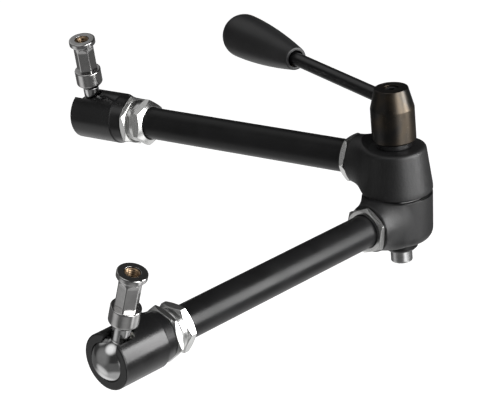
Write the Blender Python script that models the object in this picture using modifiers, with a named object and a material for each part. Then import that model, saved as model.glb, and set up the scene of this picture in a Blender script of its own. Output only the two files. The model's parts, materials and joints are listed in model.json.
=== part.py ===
"""Articulating friction arm for cameras, in metres, +Z up.

Two tubes of one length meet at an elbow of two castings. Each tube ends in a ball socket that
holds a ball stud with a 16 mm spigot. One lever on top of the elbow turns a threaded hub. The hub
draws a wedged shaft up, and the wedges drive a push rod down each tube against the ball seats.

World frame: the origin is the middle of the lower spigot's end face, +X runs along the lower tube
from its ball to the elbow, and +Z runs up the elbow's axis, towards the lever. Heights in the elbow
are measured from the parting plane between its castings.

Each arm is modelled in its own frame, whose Z runs outwards from the elbow's axis along the tube
and whose X points to the side that the socket's slot is open to. A stud's frame has its origin in
the ball's centre and its Z along the stud.
"""
import math

import bmesh
import bpy
from mathutils import Matrix, Vector

MM = 0.001
GAP = 0.3 * MM

# Arm lengths, heights and the pose of the photograph
BALL_DISTANCE = 217.0 * MM
UPPER_TUBE_HEIGHT = 16.5 * MM
LOWER_TUBE_DROP = 13.7 * MM
ELBOW_ANGLE = math.radians(81.1)
LOWER_SLOT_ROLL = math.radians(-19.0)
UPPER_SLOT_ROLL = math.radians(-10.9)
LOWER_STUD_TILT = math.radians(92.1)
UPPER_STUD_TILT = math.radians(94.8)
LEVER_AZIMUTH = math.radians(74.4)

# Tubes and push rods
TUBE_RADIUS = 9.525 * MM
TUBE_WALL = 2.0 * MM
ROD_RADIUS = 4.0 * MM
ROD_PLAY = 0.5 * MM

# Ball studs
BALL_RADIUS = 12.7 * MM
NECK_RADIUS = 4.75 * MM
NECK_END = 20.0 * MM
STUD_THREAD_RADIUS = 3.4 * MM
STUD_THREAD_LENGTH = 10.5 * MM

# Spigots
SPIGOT_RADIUS = 8.0 * MM
SPIGOT_LENGTH = 32.7 * MM
COLLAR_HEIGHT = 11.7 * MM
COLLAR_CHAMFER = 2.7 * MM
HEAD_HEIGHT = 4.2 * MM
HEAD_CHAMFER = 1.3 * MM
SHANK_FLATS = 11.0 * MM
SHANK_CORNERS = 12.3 * MM
EDGE = 0.5 * MM
BUSH_RADIUS = 4.0 * MM
BUSH_HOLE_RADIUS = 3.175 * MM
BUSH_LENGTH = 13.0 * MM

# Ball sockets, their bushings and nuts
SOCKET_WALL = 2.25 * MM
SOCKET_LIP = 7.2 * MM
SOCKET_BARREL = 29.3 * MM
SOCKET_BAND = 7.0 * MM
SOCKET_EDGE = 0.8 * MM
BAND_STEP = 0.6 * MM
BAND_TAPER = 0.5 * MM
SLOT_PLAY = 0.75 * MM
SLOT_REACH = 2.3 * MM
SEAT_DEPTH = 4.1 * MM
SEAT_RIM_RADIUS = 10.8 * MM
SEAT_POCKET = 2.2 * MM
THREAD_WALL = 2.4 * MM
THREAD_LENGTH = 16.0 * MM
THREAD_SHOWN = 2.5 * MM
TUBE_STOP = 2.0 * MM
BUSHING_FLATS = 24.6 * MM
BUSHING_HEAD = 8.6 * MM
BUSHING_CHAMFER = 1.9 * MM
BUSHING_TURN = {"lower": math.radians(18.0), "upper": math.radians(-11.0)}
LOCK_NUT_FLATS = 27.2 * MM
LOCK_NUT_HEIGHT = 3.7 * MM
LOCK_NUT_TURN = {"lower": math.radians(0.0), "upper": math.radians(36.0)}
NUT_CHAMFER = 1.0 * MM

# Elbow castings
CASTING_RADIUS = 20.15 * MM
UPPER_TOP_RADIUS = 16.3 * MM
UPPER_HEIGHT = 27.5 * MM
LOWER_HEIGHT = 29.0 * MM
CASTING_ROUND = 2.4 * MM
LOWER_ROUND = 7.5 * MM
PARTING_RIM = 2.0 * MM
PARTING_CHAMFER = 1.0 * MM
BOSS_RADIUS = 12.6 * MM
BOSS_REACH = 5.9 * MM
BOSS_FILLET = 8.0 * MM
TUBE_ENTRY = 9.0 * MM
ELBOW_NUT_FLATS = 25.0 * MM
ELBOW_NUT_HEIGHT = 3.8 * MM
ELBOW_NUT_TURN = math.radians(10.0)
WASHER_THICKNESS = 0.8 * MM
WASHER_INSET = 1.55 * MM

# Shaft through the elbow
SHAFT_RADIUS = 7.2 * MM
SHAFT_PLAY = 0.6 * MM
SHAFT_TRAVEL = 1.0 * MM
WEDGE_RADIUS = 6.0 * MM
WEDGE_THROAT = 4.6 * MM
WEDGE_SLOPE = math.radians(20.0)
PIN_RADIUS = 6.2 * MM
PIN_ROOM = 2.8 * MM
PIN_REACH = 7.6 * MM
SHAFT_THREAD_RADIUS = 5.6 * MM
BASE_BUSH_RADIUS = 9.7 * MM
BASE_BUSH_HEIGHT = 5.2 * MM
BASE_BUSH_SLEEVE = 4.5 * MM
BASE_BUSH_CHAMFER = 1.5 * MM
THRUST_RADIUS = 10.6 * MM
THRUST_HEIGHT = 3.1 * MM

# Lever
HUB_RADIUS = 12.45 * MM
HUB_TOP_RADIUS = 9.5 * MM
HUB_CONE = 11.5 * MM
HUB_HEIGHT = 30.8 * MM
HUB_EDGE = 0.8 * MM
HUB_ROOF = 1.3 * MM
LEVER_ROD_RADIUS = 4.0 * MM
LEVER_ROD_BELOW_TOP = 8.3 * MM
LEVER_ROD_PAST_AXIS = 6.0 * MM
LEVER_ROD_IN_KNOB = 36.0 * MM
SET_SCREW_RADIUS = 4.0 * MM
SET_SCREW_SINK = 0.7 * MM
SET_SCREW_FLATS = 4.0 * MM
SET_SCREW_SOCKET = 2.2 * MM
KNOB_START = 102.0 * MM
KNOB_TAPER = 61.0 * MM
KNOB_DOME = 13.5 * MM
KNOB_NECK_RADIUS = 6.9 * MM
KNOB_RADIUS = 13.5 * MM
KNOB_SWELL = 1.77
KNOB_ROUND = 1.2 * MM
KNOB_MOUTH = 9.0 * MM
KNOB_MOUTH_PLAY = 0.9 * MM
INSERT_WALL = 2.0 * MM

# Facets round a turned piece
FINE = 32
MEDIUM = 24
COARSE = 16
SHARP_ANGLE = math.radians(30.0)

# Values that follow from the sizes above
TUBE_BORE = TUBE_RADIUS + GAP
SEAT_RADIUS = BALL_RADIUS + GAP
SOCKET_RADIUS = SEAT_RADIUS + SOCKET_WALL
SOCKET_BACK = SOCKET_LIP - SOCKET_BARREL - SOCKET_BAND
SPIGOT_START = NECK_END + GAP
SPIGOT_REACH = SPIGOT_START + SPIGOT_LENGTH
THREAD_RADIUS = TUBE_BORE + THREAD_WALL
LOCK_NUT_TOP = BALL_DISTANCE + SOCKET_BACK - GAP
BUSHING_TOP = LOCK_NUT_TOP - LOCK_NUT_HEIGHT - THREAD_SHOWN
BUSHING_START = BUSHING_TOP - BUSHING_HEAD
THREAD_END = BUSHING_TOP + THREAD_LENGTH
TUBE_END = THREAD_END - TUBE_STOP - GAP
PUSH_TRAVEL = SHAFT_TRAVEL * math.tan(WEDGE_SLOPE)
CUP_RADIUS = BALL_RADIUS + GAP + PUSH_TRAVEL
SEAT_BACK = -CUP_RADIUS - SEAT_DEPTH
ROD_TIP = WEDGE_RADIUS + GAP / math.cos(WEDGE_SLOPE) + ROD_RADIUS * (1 / math.cos(WEDGE_SLOPE) - 1)
ROD_END = BALL_DISTANCE + SEAT_BACK + SEAT_POCKET - GAP
FACE_GAP = WASHER_THICKNESS / 2 + GAP
SHAFT_BORE = SHAFT_RADIUS + SHAFT_PLAY
BOSS_END = CASTING_RADIUS + BOSS_REACH
TUBE_SEAT = BOSS_END - TUBE_ENTRY
SPOT_FACE_RADIUS = UPPER_TOP_RADIUS - CASTING_ROUND
THRUST_START = UPPER_HEIGHT + GAP
HUB_START = THRUST_START + THRUST_HEIGHT + GAP
HUB_TOP = HUB_START + HUB_HEIGHT
LEVER_HEIGHT = HUB_TOP - LEVER_ROD_BELOW_TOP
HUB_BORE_TOP = LEVER_HEIGHT - LEVER_ROD_RADIUS - GAP - HUB_ROOF
SHAFT_TOP = HUB_BORE_TOP - SHAFT_TRAVEL - 2 * GAP
BUSH_TOP = LOWER_HEIGHT + GAP
PIN_STEP = BUSH_TOP - BASE_BUSH_SLEEVE - PIN_ROOM
PIN_END = BUSH_TOP + BASE_BUSH_HEIGHT + PIN_REACH


def turn(axis, angle):
    """A rotation matrix about one of the axes."""
    return Matrix.Rotation(angle, 4, axis)


def shift(x, y, z):
    """A translation matrix."""
    return Matrix.Translation((x, y, z))


def arm_turn(azimuth, roll):
    """Turn an arm's frame: Z outwards at the azimuth, X up, then rolled about the tube."""
    return turn("Z", azimuth) @ turn("Y", math.pi / 2) @ turn("Z", math.pi + roll)


def arc(centre_r, centre_z, radius, start, end, steps):
    """Profile points on an arc, with angles in degrees from the +r direction."""
    points = []
    for i in range(steps + 1):
        angle = math.radians(start + (end - start) * i / steps)
        points.append((centre_r + radius * math.cos(angle), centre_z + radius * math.sin(angle)))
    return points


def new_collection(name):
    """A collection linked to the scene."""
    collection = bpy.data.collections.new(name)
    bpy.context.scene.collection.children.link(collection)
    return collection


def new_material(name, colour, roughness, metallic):
    """A Principled material with one colour and finish."""
    material = bpy.data.materials.new(name)
    material.use_nodes = True
    shader = material.node_tree.nodes["Principled BSDF"]
    shader.inputs["Base Color"].default_value = (*colour, 1.0)
    shader.inputs["Roughness"].default_value = roughness
    shader.inputs["Metallic"].default_value = metallic
    return material


def new_frame(name, world, parent=None):
    """An empty at a world matrix, with its world matrix kept for its children."""
    empty = bpy.data.objects.new(name, None)
    empty.empty_display_size = 0.02
    PARTS.objects.link(empty)
    WORLD[name] = world
    if parent is None:
        empty.matrix_local = world
    else:
        empty.parent = parent
        empty.matrix_local = WORLD[parent.name].inverted() @ world
    return empty


def new_object(name, mesh, frame, place):
    """An object at a place in a frame."""
    obj = bpy.data.objects.new(name, mesh)
    obj.parent = frame
    obj.matrix_local = place
    PARTS.objects.link(obj)
    return obj


def finish(obj, material):
    """Give a piece a material of its own and smooth shading with sharp edges kept."""
    colour, roughness, metallic = FINISHES[material]
    obj.data.materials.append(new_material(obj.name, colour, roughness, metallic))
    if obj.data.polygons:
        obj.data.shade_smooth()
        obj.data.set_sharp_from_angle(angle=SHARP_ANGLE)
    return obj


def as_cutter(obj):
    """Move an object to the cutters' collection and show it as a wire."""
    PARTS.objects.unlink(obj)
    CUTTERS.objects.link(obj)
    obj.hide_render = True
    obj.display_type = "WIRE"
    return obj


def turned(name, profile, frame, place=Matrix(), closed=False, steps=MEDIUM):
    """Turn a profile of (radius, height) points about the place's Z axis with a Screw modifier.

    The points run down the outer side. A closed profile goes on up the bore to its first point.
    """
    count = len(profile)
    edges = [(i, i + 1) for i in range(count - 1)]
    if closed:
        edges.append((count - 1, 0))
    mesh = bpy.data.meshes.new(name)
    mesh.from_pydata([(r, 0.0, z) for r, z in profile], edges, [])
    obj = new_object(name, mesh, frame, place)
    screw = obj.modifiers.new("turn", "SCREW")
    screw.axis = "Z"
    screw.angle = math.tau
    screw.steps = steps
    screw.render_steps = steps
    screw.use_merge_vertices = True
    screw.merge_threshold = 0.00001
    return obj


def cylinder(name, radius, low, high, frame, place=Matrix(), sides=COARSE):
    """A cylinder or prism along the place's Z axis, from low to high."""
    bm = bmesh.new()
    bmesh.ops.create_cone(bm, cap_ends=True, segments=sides, radius1=radius, radius2=radius,
                          depth=high - low, matrix=shift(0, 0, (low + high) / 2))
    mesh = bpy.data.meshes.new(name)
    bm.to_mesh(mesh)
    bm.free()
    return new_object(name, mesh, frame, place)


def box(name, low, high, frame, place=Matrix()):
    """A box between two corners."""
    size = Vector(high) - Vector(low)
    middle = (Vector(high) + Vector(low)) / 2
    bm = bmesh.new()
    bmesh.ops.create_cube(bm, size=1.0, matrix=Matrix.Translation(middle) @ Matrix.Diagonal((*size, 1.0)))
    mesh = bpy.data.meshes.new(name)
    bm.to_mesh(mesh)
    bm.free()
    return new_object(name, mesh, frame, place)


def combine(obj, other, operation):
    """Add a Boolean modifier with another object as its cutter."""
    boolean = obj.modifiers.new(operation.lower(), "BOOLEAN")
    boolean.operation = operation
    boolean.solver = "EXACT"
    boolean.object = as_cutter(other)
    return obj


def hexagon(name, flats, low, high, frame, place=Matrix()):
    """A hexagonal prism with its corners on a circle round the place's Z axis."""
    return cylinder(name, flats / 2 / math.cos(math.pi / 6), low, high, frame, place, sides=6)


def chamfered_hexagon(name, flats, low, high, chamfers, frame, place=Matrix()):
    """A nut's body: a hexagon inside a turned shape that takes its corners off at each end."""
    corner = flats / 2 / math.cos(math.pi / 6)
    bottom, top = chamfers
    slope = math.tan(math.radians(30))
    profile = [(0, high), (corner - top, high), (corner + EDGE, high - (top + EDGE) * slope),
               (corner + EDGE, low + (bottom + EDGE) * slope), (corner - bottom, low), (0, low)]
    obj = hexagon(name, flats, low, high, frame, place)
    return combine(obj, turned(name + "_corners", profile, frame, place), "INTERSECT")


def nut(name, flats, bore, low, high, frame, place=Matrix()):
    """A hexagonal nut with chamfered corners and a plain bore."""
    obj = chamfered_hexagon(name, flats, low, high, (NUT_CHAMFER, NUT_CHAMFER), frame, place)
    hole = cylinder(name + "_bore", bore, low - EDGE, high + EDGE, frame, place, sides=MEDIUM)
    return combine(obj, hole, "DIFFERENCE")


def ball_stud(side, frame):
    """Ball, neck and threaded end, turned in one piece."""
    neck_angle = math.degrees(math.acos(NECK_RADIUS / BALL_RADIUS))
    thread_end = NECK_END + STUD_THREAD_LENGTH
    profile = [(0, thread_end), (STUD_THREAD_RADIUS - EDGE, thread_end),
               (STUD_THREAD_RADIUS, thread_end - EDGE), (STUD_THREAD_RADIUS, NECK_END),
               (NECK_RADIUS, NECK_END)]
    profile += arc(0, 0, BALL_RADIUS, neck_angle, -90, 11)
    profile[-1] = (0, -BALL_RADIUS)
    return finish(turned(side + "_ball_stud", profile, frame), "polished")


def spigot(side, frame):
    """Turned head and collar on a hexagonal shank, bored at both ends."""
    low, high = SPIGOT_START, SPIGOT_REACH
    collar_top = low + COLLAR_HEIGHT
    head_bottom = high - HEAD_HEIGHT
    shank_radius = SHANK_CORNERS / 2
    profile = [(0, high), (SPIGOT_RADIUS - EDGE, high), (SPIGOT_RADIUS, high - EDGE),
               (SPIGOT_RADIUS, head_bottom + HEAD_CHAMFER),
               (SPIGOT_RADIUS - HEAD_CHAMFER, head_bottom), (shank_radius, head_bottom),
               (shank_radius, collar_top), (SPIGOT_RADIUS - EDGE, collar_top),
               (SPIGOT_RADIUS, collar_top - EDGE), (SPIGOT_RADIUS, low + COLLAR_CHAMFER),
               (SPIGOT_RADIUS - COLLAR_CHAMFER, low), (0, low)]
    obj = turned(side + "_spigot", profile, frame, steps=FINE)
    reach = SPIGOT_RADIUS + EDGE
    for k in range(6):
        name = side + "_flat_" + str(k)
        flat = box(name, (SHANK_FLATS / 2, -reach, collar_top), (reach, reach, head_bottom),
                   frame, turn("Z", k * math.pi / 3))
        combine(obj, flat, "DIFFERENCE")
    top_hole = cylinder(side + "_bush_hole", BUSH_RADIUS + GAP, high - BUSH_LENGTH - 2 * GAP,
                        high + EDGE, frame)
    combine(obj, top_hole, "DIFFERENCE")
    stud_hole = cylinder(side + "_stud_hole", STUD_THREAD_RADIUS + GAP, low - EDGE,
                         NECK_END + STUD_THREAD_LENGTH + GAP, frame)
    combine(obj, stud_hole, "DIFFERENCE")
    return finish(obj, "satin_steel")


def thread_bush(side, frame):
    """Brass bush with the camera screw's thread, sunk a little below the head's face."""
    high = SPIGOT_REACH - GAP
    low = high - BUSH_LENGTH + GAP
    profile = [(BUSH_HOLE_RADIUS + EDGE, high), (BUSH_RADIUS, high), (BUSH_RADIUS, low),
               (BUSH_HOLE_RADIUS, low), (BUSH_HOLE_RADIUS, high - EDGE)]
    return finish(turned(side + "_thread_bush", profile, frame, closed=True, steps=COARSE), "brass")


def ball_socket(side, frame, ball):
    """Turned socket with a lip in front of the ball, and a slot that lets the neck swing aside."""
    back_radius = SOCKET_RADIUS - BAND_STEP - BAND_TAPER
    band_start = SOCKET_LIP - SOCKET_BARREL
    lip_angle = math.degrees(math.asin(SOCKET_LIP / SEAT_RADIUS))
    profile = arc(SOCKET_RADIUS - SOCKET_EDGE, SOCKET_LIP - SOCKET_EDGE, SOCKET_EDGE, 90, 0, 4)
    profile += [(SOCKET_RADIUS, band_start), (SOCKET_RADIUS - BAND_STEP, band_start - BAND_STEP),
                (back_radius, SOCKET_BACK + EDGE), (back_radius - EDGE, SOCKET_BACK),
                (SEAT_RADIUS, SOCKET_BACK)]
    profile += arc(0, 0, SEAT_RADIUS, 0, lip_angle, 5)
    obj = turned(side + "_ball_socket", profile, frame, ball, closed=True, steps=FINE)
    width = NECK_RADIUS + SLOT_PLAY
    outside = SOCKET_RADIUS + EDGE
    slot = box(side + "_slot", (0, -width, -SLOT_REACH), (outside, width, SOCKET_LIP + EDGE), frame, ball)
    combine(obj, slot, "DIFFERENCE")
    across = ball @ shift(0, 0, -SLOT_REACH) @ turn("Y", math.pi / 2)
    combine(obj, cylinder(side + "_slot_end", width, 0, outside, frame, across), "DIFFERENCE")
    return finish(obj, "gloss_black")


def ball_seat(side, frame, ball):
    """Cup that the push rod drives against the ball."""
    rim = -math.sqrt(CUP_RADIUS ** 2 - SEAT_RIM_RADIUS ** 2)
    start = math.degrees(math.atan2(rim, SEAT_RIM_RADIUS))
    cup = arc(0, 0, CUP_RADIUS, -90, start, 5)
    cup[0] = (0, -CUP_RADIUS)
    guide = SEAT_RADIUS - 2 * GAP
    pocket = ROD_RADIUS + GAP
    profile = cup + [(guide, rim - (guide - SEAT_RIM_RADIUS)), (guide, SEAT_BACK + EDGE),
                     (guide - EDGE, SEAT_BACK), (pocket, SEAT_BACK),
                     (pocket, SEAT_BACK + SEAT_POCKET), (0, SEAT_BACK + SEAT_POCKET)]
    return finish(turned(side + "_ball_seat", profile, frame, ball), "nylon")


def push_rod(side, frame):
    """Rod from the shaft's wedge to the ball seat, with a domed tip at the wedge."""
    profile = [(0, ROD_END), (ROD_RADIUS - EDGE, ROD_END), (ROD_RADIUS, ROD_END - EDGE)]
    profile += arc(0, ROD_TIP + ROD_RADIUS, ROD_RADIUS, 0, -90, 5)
    profile[-1] = (0, ROD_TIP)
    return finish(turned(side + "_push_rod", profile, frame, steps=COARSE), "steel")


def socket_bushing(side, frame):
    """Thick hexagonal bushing: screwed on the tube's end and into the back of the socket."""
    obj = chamfered_hexagon(side + "_socket_bushing", BUSHING_FLATS, BUSHING_START, BUSHING_TOP,
                            (BUSHING_CHAMFER, EDGE), frame, turn("Z", BUSHING_TURN[side]))
    thread = cylinder(side + "_bushing_thread", THREAD_RADIUS, BUSHING_TOP - EDGE, THREAD_END,
                      frame, sides=MEDIUM)
    combine(obj, thread, "UNION")
    hole = cylinder(side + "_bushing_bore", TUBE_BORE, BUSHING_START - EDGE, TUBE_END + GAP, frame,
                    sides=MEDIUM)
    combine(obj, hole, "DIFFERENCE")
    way = cylinder(side + "_rod_way", ROD_RADIUS + ROD_PLAY, TUBE_END, THREAD_END + EDGE, frame)
    combine(obj, way, "DIFFERENCE")
    return finish(obj, "nickel")


def lock_nut(side, frame):
    """Thin nut that locks the socket on its bushing."""
    low = LOCK_NUT_TOP - LOCK_NUT_HEIGHT
    obj = nut(side + "_lock_nut", LOCK_NUT_FLATS, THREAD_RADIUS + GAP, low, LOCK_NUT_TOP, frame,
              turn("Z", LOCK_NUT_TURN[side]))
    return finish(obj, "nickel")


def tube(side, frame):
    """Plain tube between the casting and the socket's bushing."""
    inside = TUBE_RADIUS - TUBE_WALL
    low = TUBE_SEAT + GAP
    profile = [(inside, TUBE_END), (TUBE_RADIUS, TUBE_END), (TUBE_RADIUS, low), (inside, low)]
    return finish(turned(side + "_tube", profile, frame, closed=True, steps=FINE), "satin_black")


def elbow_nut(side, frame):
    """Thin nut that locks the tube in its casting."""
    low = BOSS_END + GAP
    obj = nut(side + "_elbow_nut", ELBOW_NUT_FLATS, TUBE_BORE, low, low + ELBOW_NUT_HEIGHT, frame,
              turn("Z", ELBOW_NUT_TURN))
    return finish(obj, "nickel")


def boss(side, frame, body_radius):
    """Boss round the tube, whose fillet runs out on the casting's round side.

    The fillet's arc touches the boss and a casting of the given radius. Its middle lies at the
    boss's radius plus its own from the tube, and at the casting's plus its own from the elbow.
    """
    middle = BOSS_RADIUS + BOSS_FILLET
    reach = body_radius + BOSS_FILLET
    distance = math.sqrt(reach ** 2 - middle ** 2)
    runout = math.degrees(math.asin(distance / reach))
    profile = [(0, BOSS_END), (BOSS_RADIUS - EDGE, BOSS_END), (BOSS_RADIUS, BOSS_END - EDGE)]
    profile += arc(middle, distance, BOSS_FILLET, 180, 180 + runout, 5)
    inner = SHAFT_BORE + EDGE
    profile += [(profile[-1][0], inner), (0, inner)]
    return turned(side + "_boss", profile, frame)


def casting(side, body, frame, elbow, body_radius, low, high):
    """Join a turned casting body to its boss, then bore it for the shaft, the tube and the rod.

    The boss keeps an edge's width inside the body's two faces.
    """
    reach = BOSS_END + EDGE
    room = box(side + "_boss_room", (-reach, -reach, low + EDGE), (reach, reach, high - EDGE), elbow)
    combine(body, combine(boss(side, frame, body_radius), room, "INTERSECT"), "UNION")
    shaft_hole = cylinder(side + "_shaft_hole", SHAFT_BORE, low - EDGE, high + EDGE, elbow, sides=MEDIUM)
    combine(body, shaft_hole, "DIFFERENCE")
    tube_hole = cylinder(side + "_tube_hole", TUBE_BORE, TUBE_SEAT, BOSS_END + EDGE, frame, sides=MEDIUM)
    combine(body, tube_hole, "DIFFERENCE")
    rod_hole = cylinder(side + "_rod_hole", ROD_RADIUS + ROD_PLAY, 0, TUBE_SEAT + EDGE, frame)
    combine(body, rod_hole, "DIFFERENCE")
    return finish(body, "powder_black")


def upper_casting(frame, elbow):
    """Conical upper casting with a rounded top edge, and a spot face for the lever's washer.

    The boss stands a little higher than the cone's top, where the spot face cuts it back.
    """
    base = FACE_GAP
    rim = base + PARTING_CHAMFER + PARTING_RIM
    slope = math.degrees(math.atan2(CASTING_RADIUS - UPPER_TOP_RADIUS, UPPER_HEIGHT - CASTING_ROUND - rim))
    profile = [(0, UPPER_HEIGHT)]
    profile += arc(SPOT_FACE_RADIUS, UPPER_HEIGHT - CASTING_ROUND, CASTING_ROUND, 90, slope, 3)
    profile += [(CASTING_RADIUS, rim), (CASTING_RADIUS, base + PARTING_CHAMFER),
                (CASTING_RADIUS - PARTING_CHAMFER, base), (0, base)]
    body = turned("upper_casting", profile, elbow, steps=FINE)
    middle_radius = (CASTING_RADIUS + UPPER_TOP_RADIUS) / 2
    top = UPPER_TUBE_HEIGHT + BOSS_RADIUS + 2 * EDGE
    casting("upper", body, frame, elbow, middle_radius, base, top)
    spot = cylinder("upper_spot_face", SPOT_FACE_RADIUS, UPPER_HEIGHT, top, elbow, sides=FINE)
    return combine(body, spot, "DIFFERENCE")


def lower_casting(frame, elbow):
    """Lower casting: a cylinder with a rounded lower edge."""
    base = LOWER_HEIGHT
    side = CASTING_RADIUS - EDGE
    profile = [(0, -FACE_GAP), (CASTING_RADIUS - EDGE, -FACE_GAP), (CASTING_RADIUS, -FACE_GAP - EDGE)]
    profile += arc(side - LOWER_ROUND, -base + LOWER_ROUND, LOWER_ROUND, 0, -90, 5)
    profile += [(0, -base)]
    body = turned("lower_casting", profile, elbow, steps=FINE)
    return casting("lower", body, frame, elbow, side, -base, -FACE_GAP)


def ring(name, inside, outside, low, high, frame, material):
    """A plain flat ring."""
    profile = [(inside, high), (outside, high), (outside, low), (inside, low)]
    return finish(turned(name, profile, frame, closed=True), material)


def elbow_shaft(elbow):
    """Shaft with a wedge for each push rod, a thread in the hub and a pin below the elbow."""
    def wedge(height):
        rise = (WEDGE_RADIUS - WEDGE_THROAT) / math.tan(WEDGE_SLOPE)
        drop = (SHAFT_RADIUS - WEDGE_RADIUS) / math.tan(WEDGE_SLOPE)
        step = SHAFT_RADIUS - WEDGE_THROAT
        throat = height + rise + SHAFT_TRAVEL
        return [(SHAFT_RADIUS, throat + step), (WEDGE_THROAT, throat),
                (WEDGE_THROAT, height + rise), (SHAFT_RADIUS, height - drop)]

    shoulder = HUB_START - SHAFT_TRAVEL - 2 * GAP
    thread = SHAFT_THREAD_RADIUS
    step = SHAFT_RADIUS - thread
    profile = [(0, SHAFT_TOP), (thread - EDGE, SHAFT_TOP), (thread, SHAFT_TOP - EDGE),
               (thread, shoulder), (SHAFT_RADIUS, shoulder - step)]
    profile += wedge(UPPER_TUBE_HEIGHT)
    profile += wedge(-LOWER_TUBE_DROP)
    profile += [(SHAFT_RADIUS, -PIN_STEP), (PIN_RADIUS, -PIN_STEP - (SHAFT_RADIUS - PIN_RADIUS)),
                (PIN_RADIUS, -PIN_END + EDGE), (PIN_RADIUS - EDGE, -PIN_END), (0, -PIN_END)]
    return finish(turned("elbow_shaft", profile, elbow), "steel")


def base_bush(elbow):
    """Bush under the lower casting that guides the shaft's pin."""
    top = -BUSH_TOP
    base = top - BASE_BUSH_HEIGHT
    sleeve = SHAFT_BORE - GAP
    hole = PIN_RADIUS + GAP
    profile = [(sleeve, top + BASE_BUSH_SLEEVE), (sleeve, top), (BASE_BUSH_RADIUS, top),
               (BASE_BUSH_RADIUS, base + BASE_BUSH_CHAMFER), (BASE_BUSH_RADIUS - BASE_BUSH_CHAMFER, base),
               (hole, base), (hole, top + BASE_BUSH_SLEEVE)]
    return finish(turned("base_bush", profile, elbow, closed=True), "satin_black")


def lever_hub(hub, lever):
    """Hub with a conical top, bored for the shaft, the rod and the set screw."""
    cone = HUB_TOP - HUB_CONE
    bore = SHAFT_THREAD_RADIUS + 2 * GAP
    profile = [(0, HUB_TOP), (HUB_TOP_RADIUS - EDGE, HUB_TOP), (HUB_TOP_RADIUS, HUB_TOP - EDGE),
               (HUB_RADIUS, cone), (HUB_RADIUS, HUB_START + HUB_EDGE),
               (HUB_RADIUS - HUB_EDGE, HUB_START), (bore, HUB_START), (bore, HUB_BORE_TOP),
               (0, HUB_BORE_TOP)]
    obj = turned("lever_hub", profile, hub, steps=FINE)
    rod_hole = cylinder("hub_rod_hole", LEVER_ROD_RADIUS + GAP, -LEVER_ROD_PAST_AXIS - GAP,
                        HUB_RADIUS + EDGE, lever)
    combine(obj, rod_hole, "DIFFERENCE")
    screw_hole = cylinder("hub_screw_hole", SET_SCREW_RADIUS + GAP, LEVER_HEIGHT, HUB_TOP + EDGE, hub)
    combine(obj, screw_hole, "DIFFERENCE")
    return finish(obj, "burnished")


def set_screw(hub):
    """Set screw that clamps the rod in the hub, with a hexagon socket."""
    high = HUB_TOP - SET_SCREW_SINK
    low = LEVER_HEIGHT + LEVER_ROD_RADIUS + GAP
    obj = cylinder("lever_set_screw", SET_SCREW_RADIUS, low, high, hub)
    socket = hexagon("screw_socket", SET_SCREW_FLATS, high - SET_SCREW_SOCKET, high + EDGE, hub)
    combine(obj, socket, "DIFFERENCE")
    return finish(obj, "gloss_black")


def lever_rod(lever):
    """Straight rod from the hub into the knob."""
    high = KNOB_START + LEVER_ROD_IN_KNOB
    low = -LEVER_ROD_PAST_AXIS
    radius = LEVER_ROD_RADIUS
    profile = [(0, high), (radius - EDGE, high), (radius, high - EDGE), (radius, low + EDGE),
               (radius - EDGE, low), (0, low)]
    return finish(turned("lever_rod", profile, lever, steps=COARSE), "satin_black")


def lever_knob(lever):
    """Egg-shaped knob: a dome, a long taper and a rounded mouth round the rod."""
    widest = KNOB_START + KNOB_TAPER
    profile = []
    for i in range(6):
        angle = math.pi / 2 * (1 - i / 6)
        profile.append((KNOB_RADIUS * math.cos(angle), widest + KNOB_DOME * math.sin(angle)))
    profile[0] = (0, widest + KNOB_DOME)
    for i in range(9):
        run = i / 8 * (KNOB_TAPER - KNOB_ROUND) / KNOB_TAPER
        fall = run ** KNOB_SWELL
        profile.append((KNOB_RADIUS - (KNOB_RADIUS - KNOB_NECK_RADIUS) * fall, widest - KNOB_TAPER * run))
    mouth = LEVER_ROD_RADIUS + KNOB_MOUTH_PLAY
    chamber = LEVER_ROD_RADIUS + GAP + INSERT_WALL + GAP
    bottom = KNOB_START + LEVER_ROD_IN_KNOB + GAP
    profile += [(KNOB_NECK_RADIUS - KNOB_ROUND, KNOB_START), (mouth, KNOB_START),
                (mouth, KNOB_START + KNOB_MOUTH), (chamber, KNOB_START + KNOB_MOUTH),
                (chamber, bottom), (0, bottom)]
    return finish(turned("lever_knob", profile, lever), "moulded_black")


def knob_insert(lever):
    """Threaded brass insert moulded into the knob."""
    inside = LEVER_ROD_RADIUS + GAP
    low = KNOB_START + KNOB_MOUTH + GAP
    high = KNOB_START + LEVER_ROD_IN_KNOB
    return ring("knob_insert", inside, inside + INSERT_WALL, low, high, lever, "brass")


def build_arm(side, frame):
    """The pieces that ride on one tube."""
    ball = shift(0, 0, BALL_DISTANCE)
    tube(side, frame)
    elbow_nut(side, frame)
    socket_bushing(side, frame)
    lock_nut(side, frame)
    ball_socket(side, frame, ball)
    ball_seat(side, frame, ball)
    push_rod(side, frame)


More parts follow.
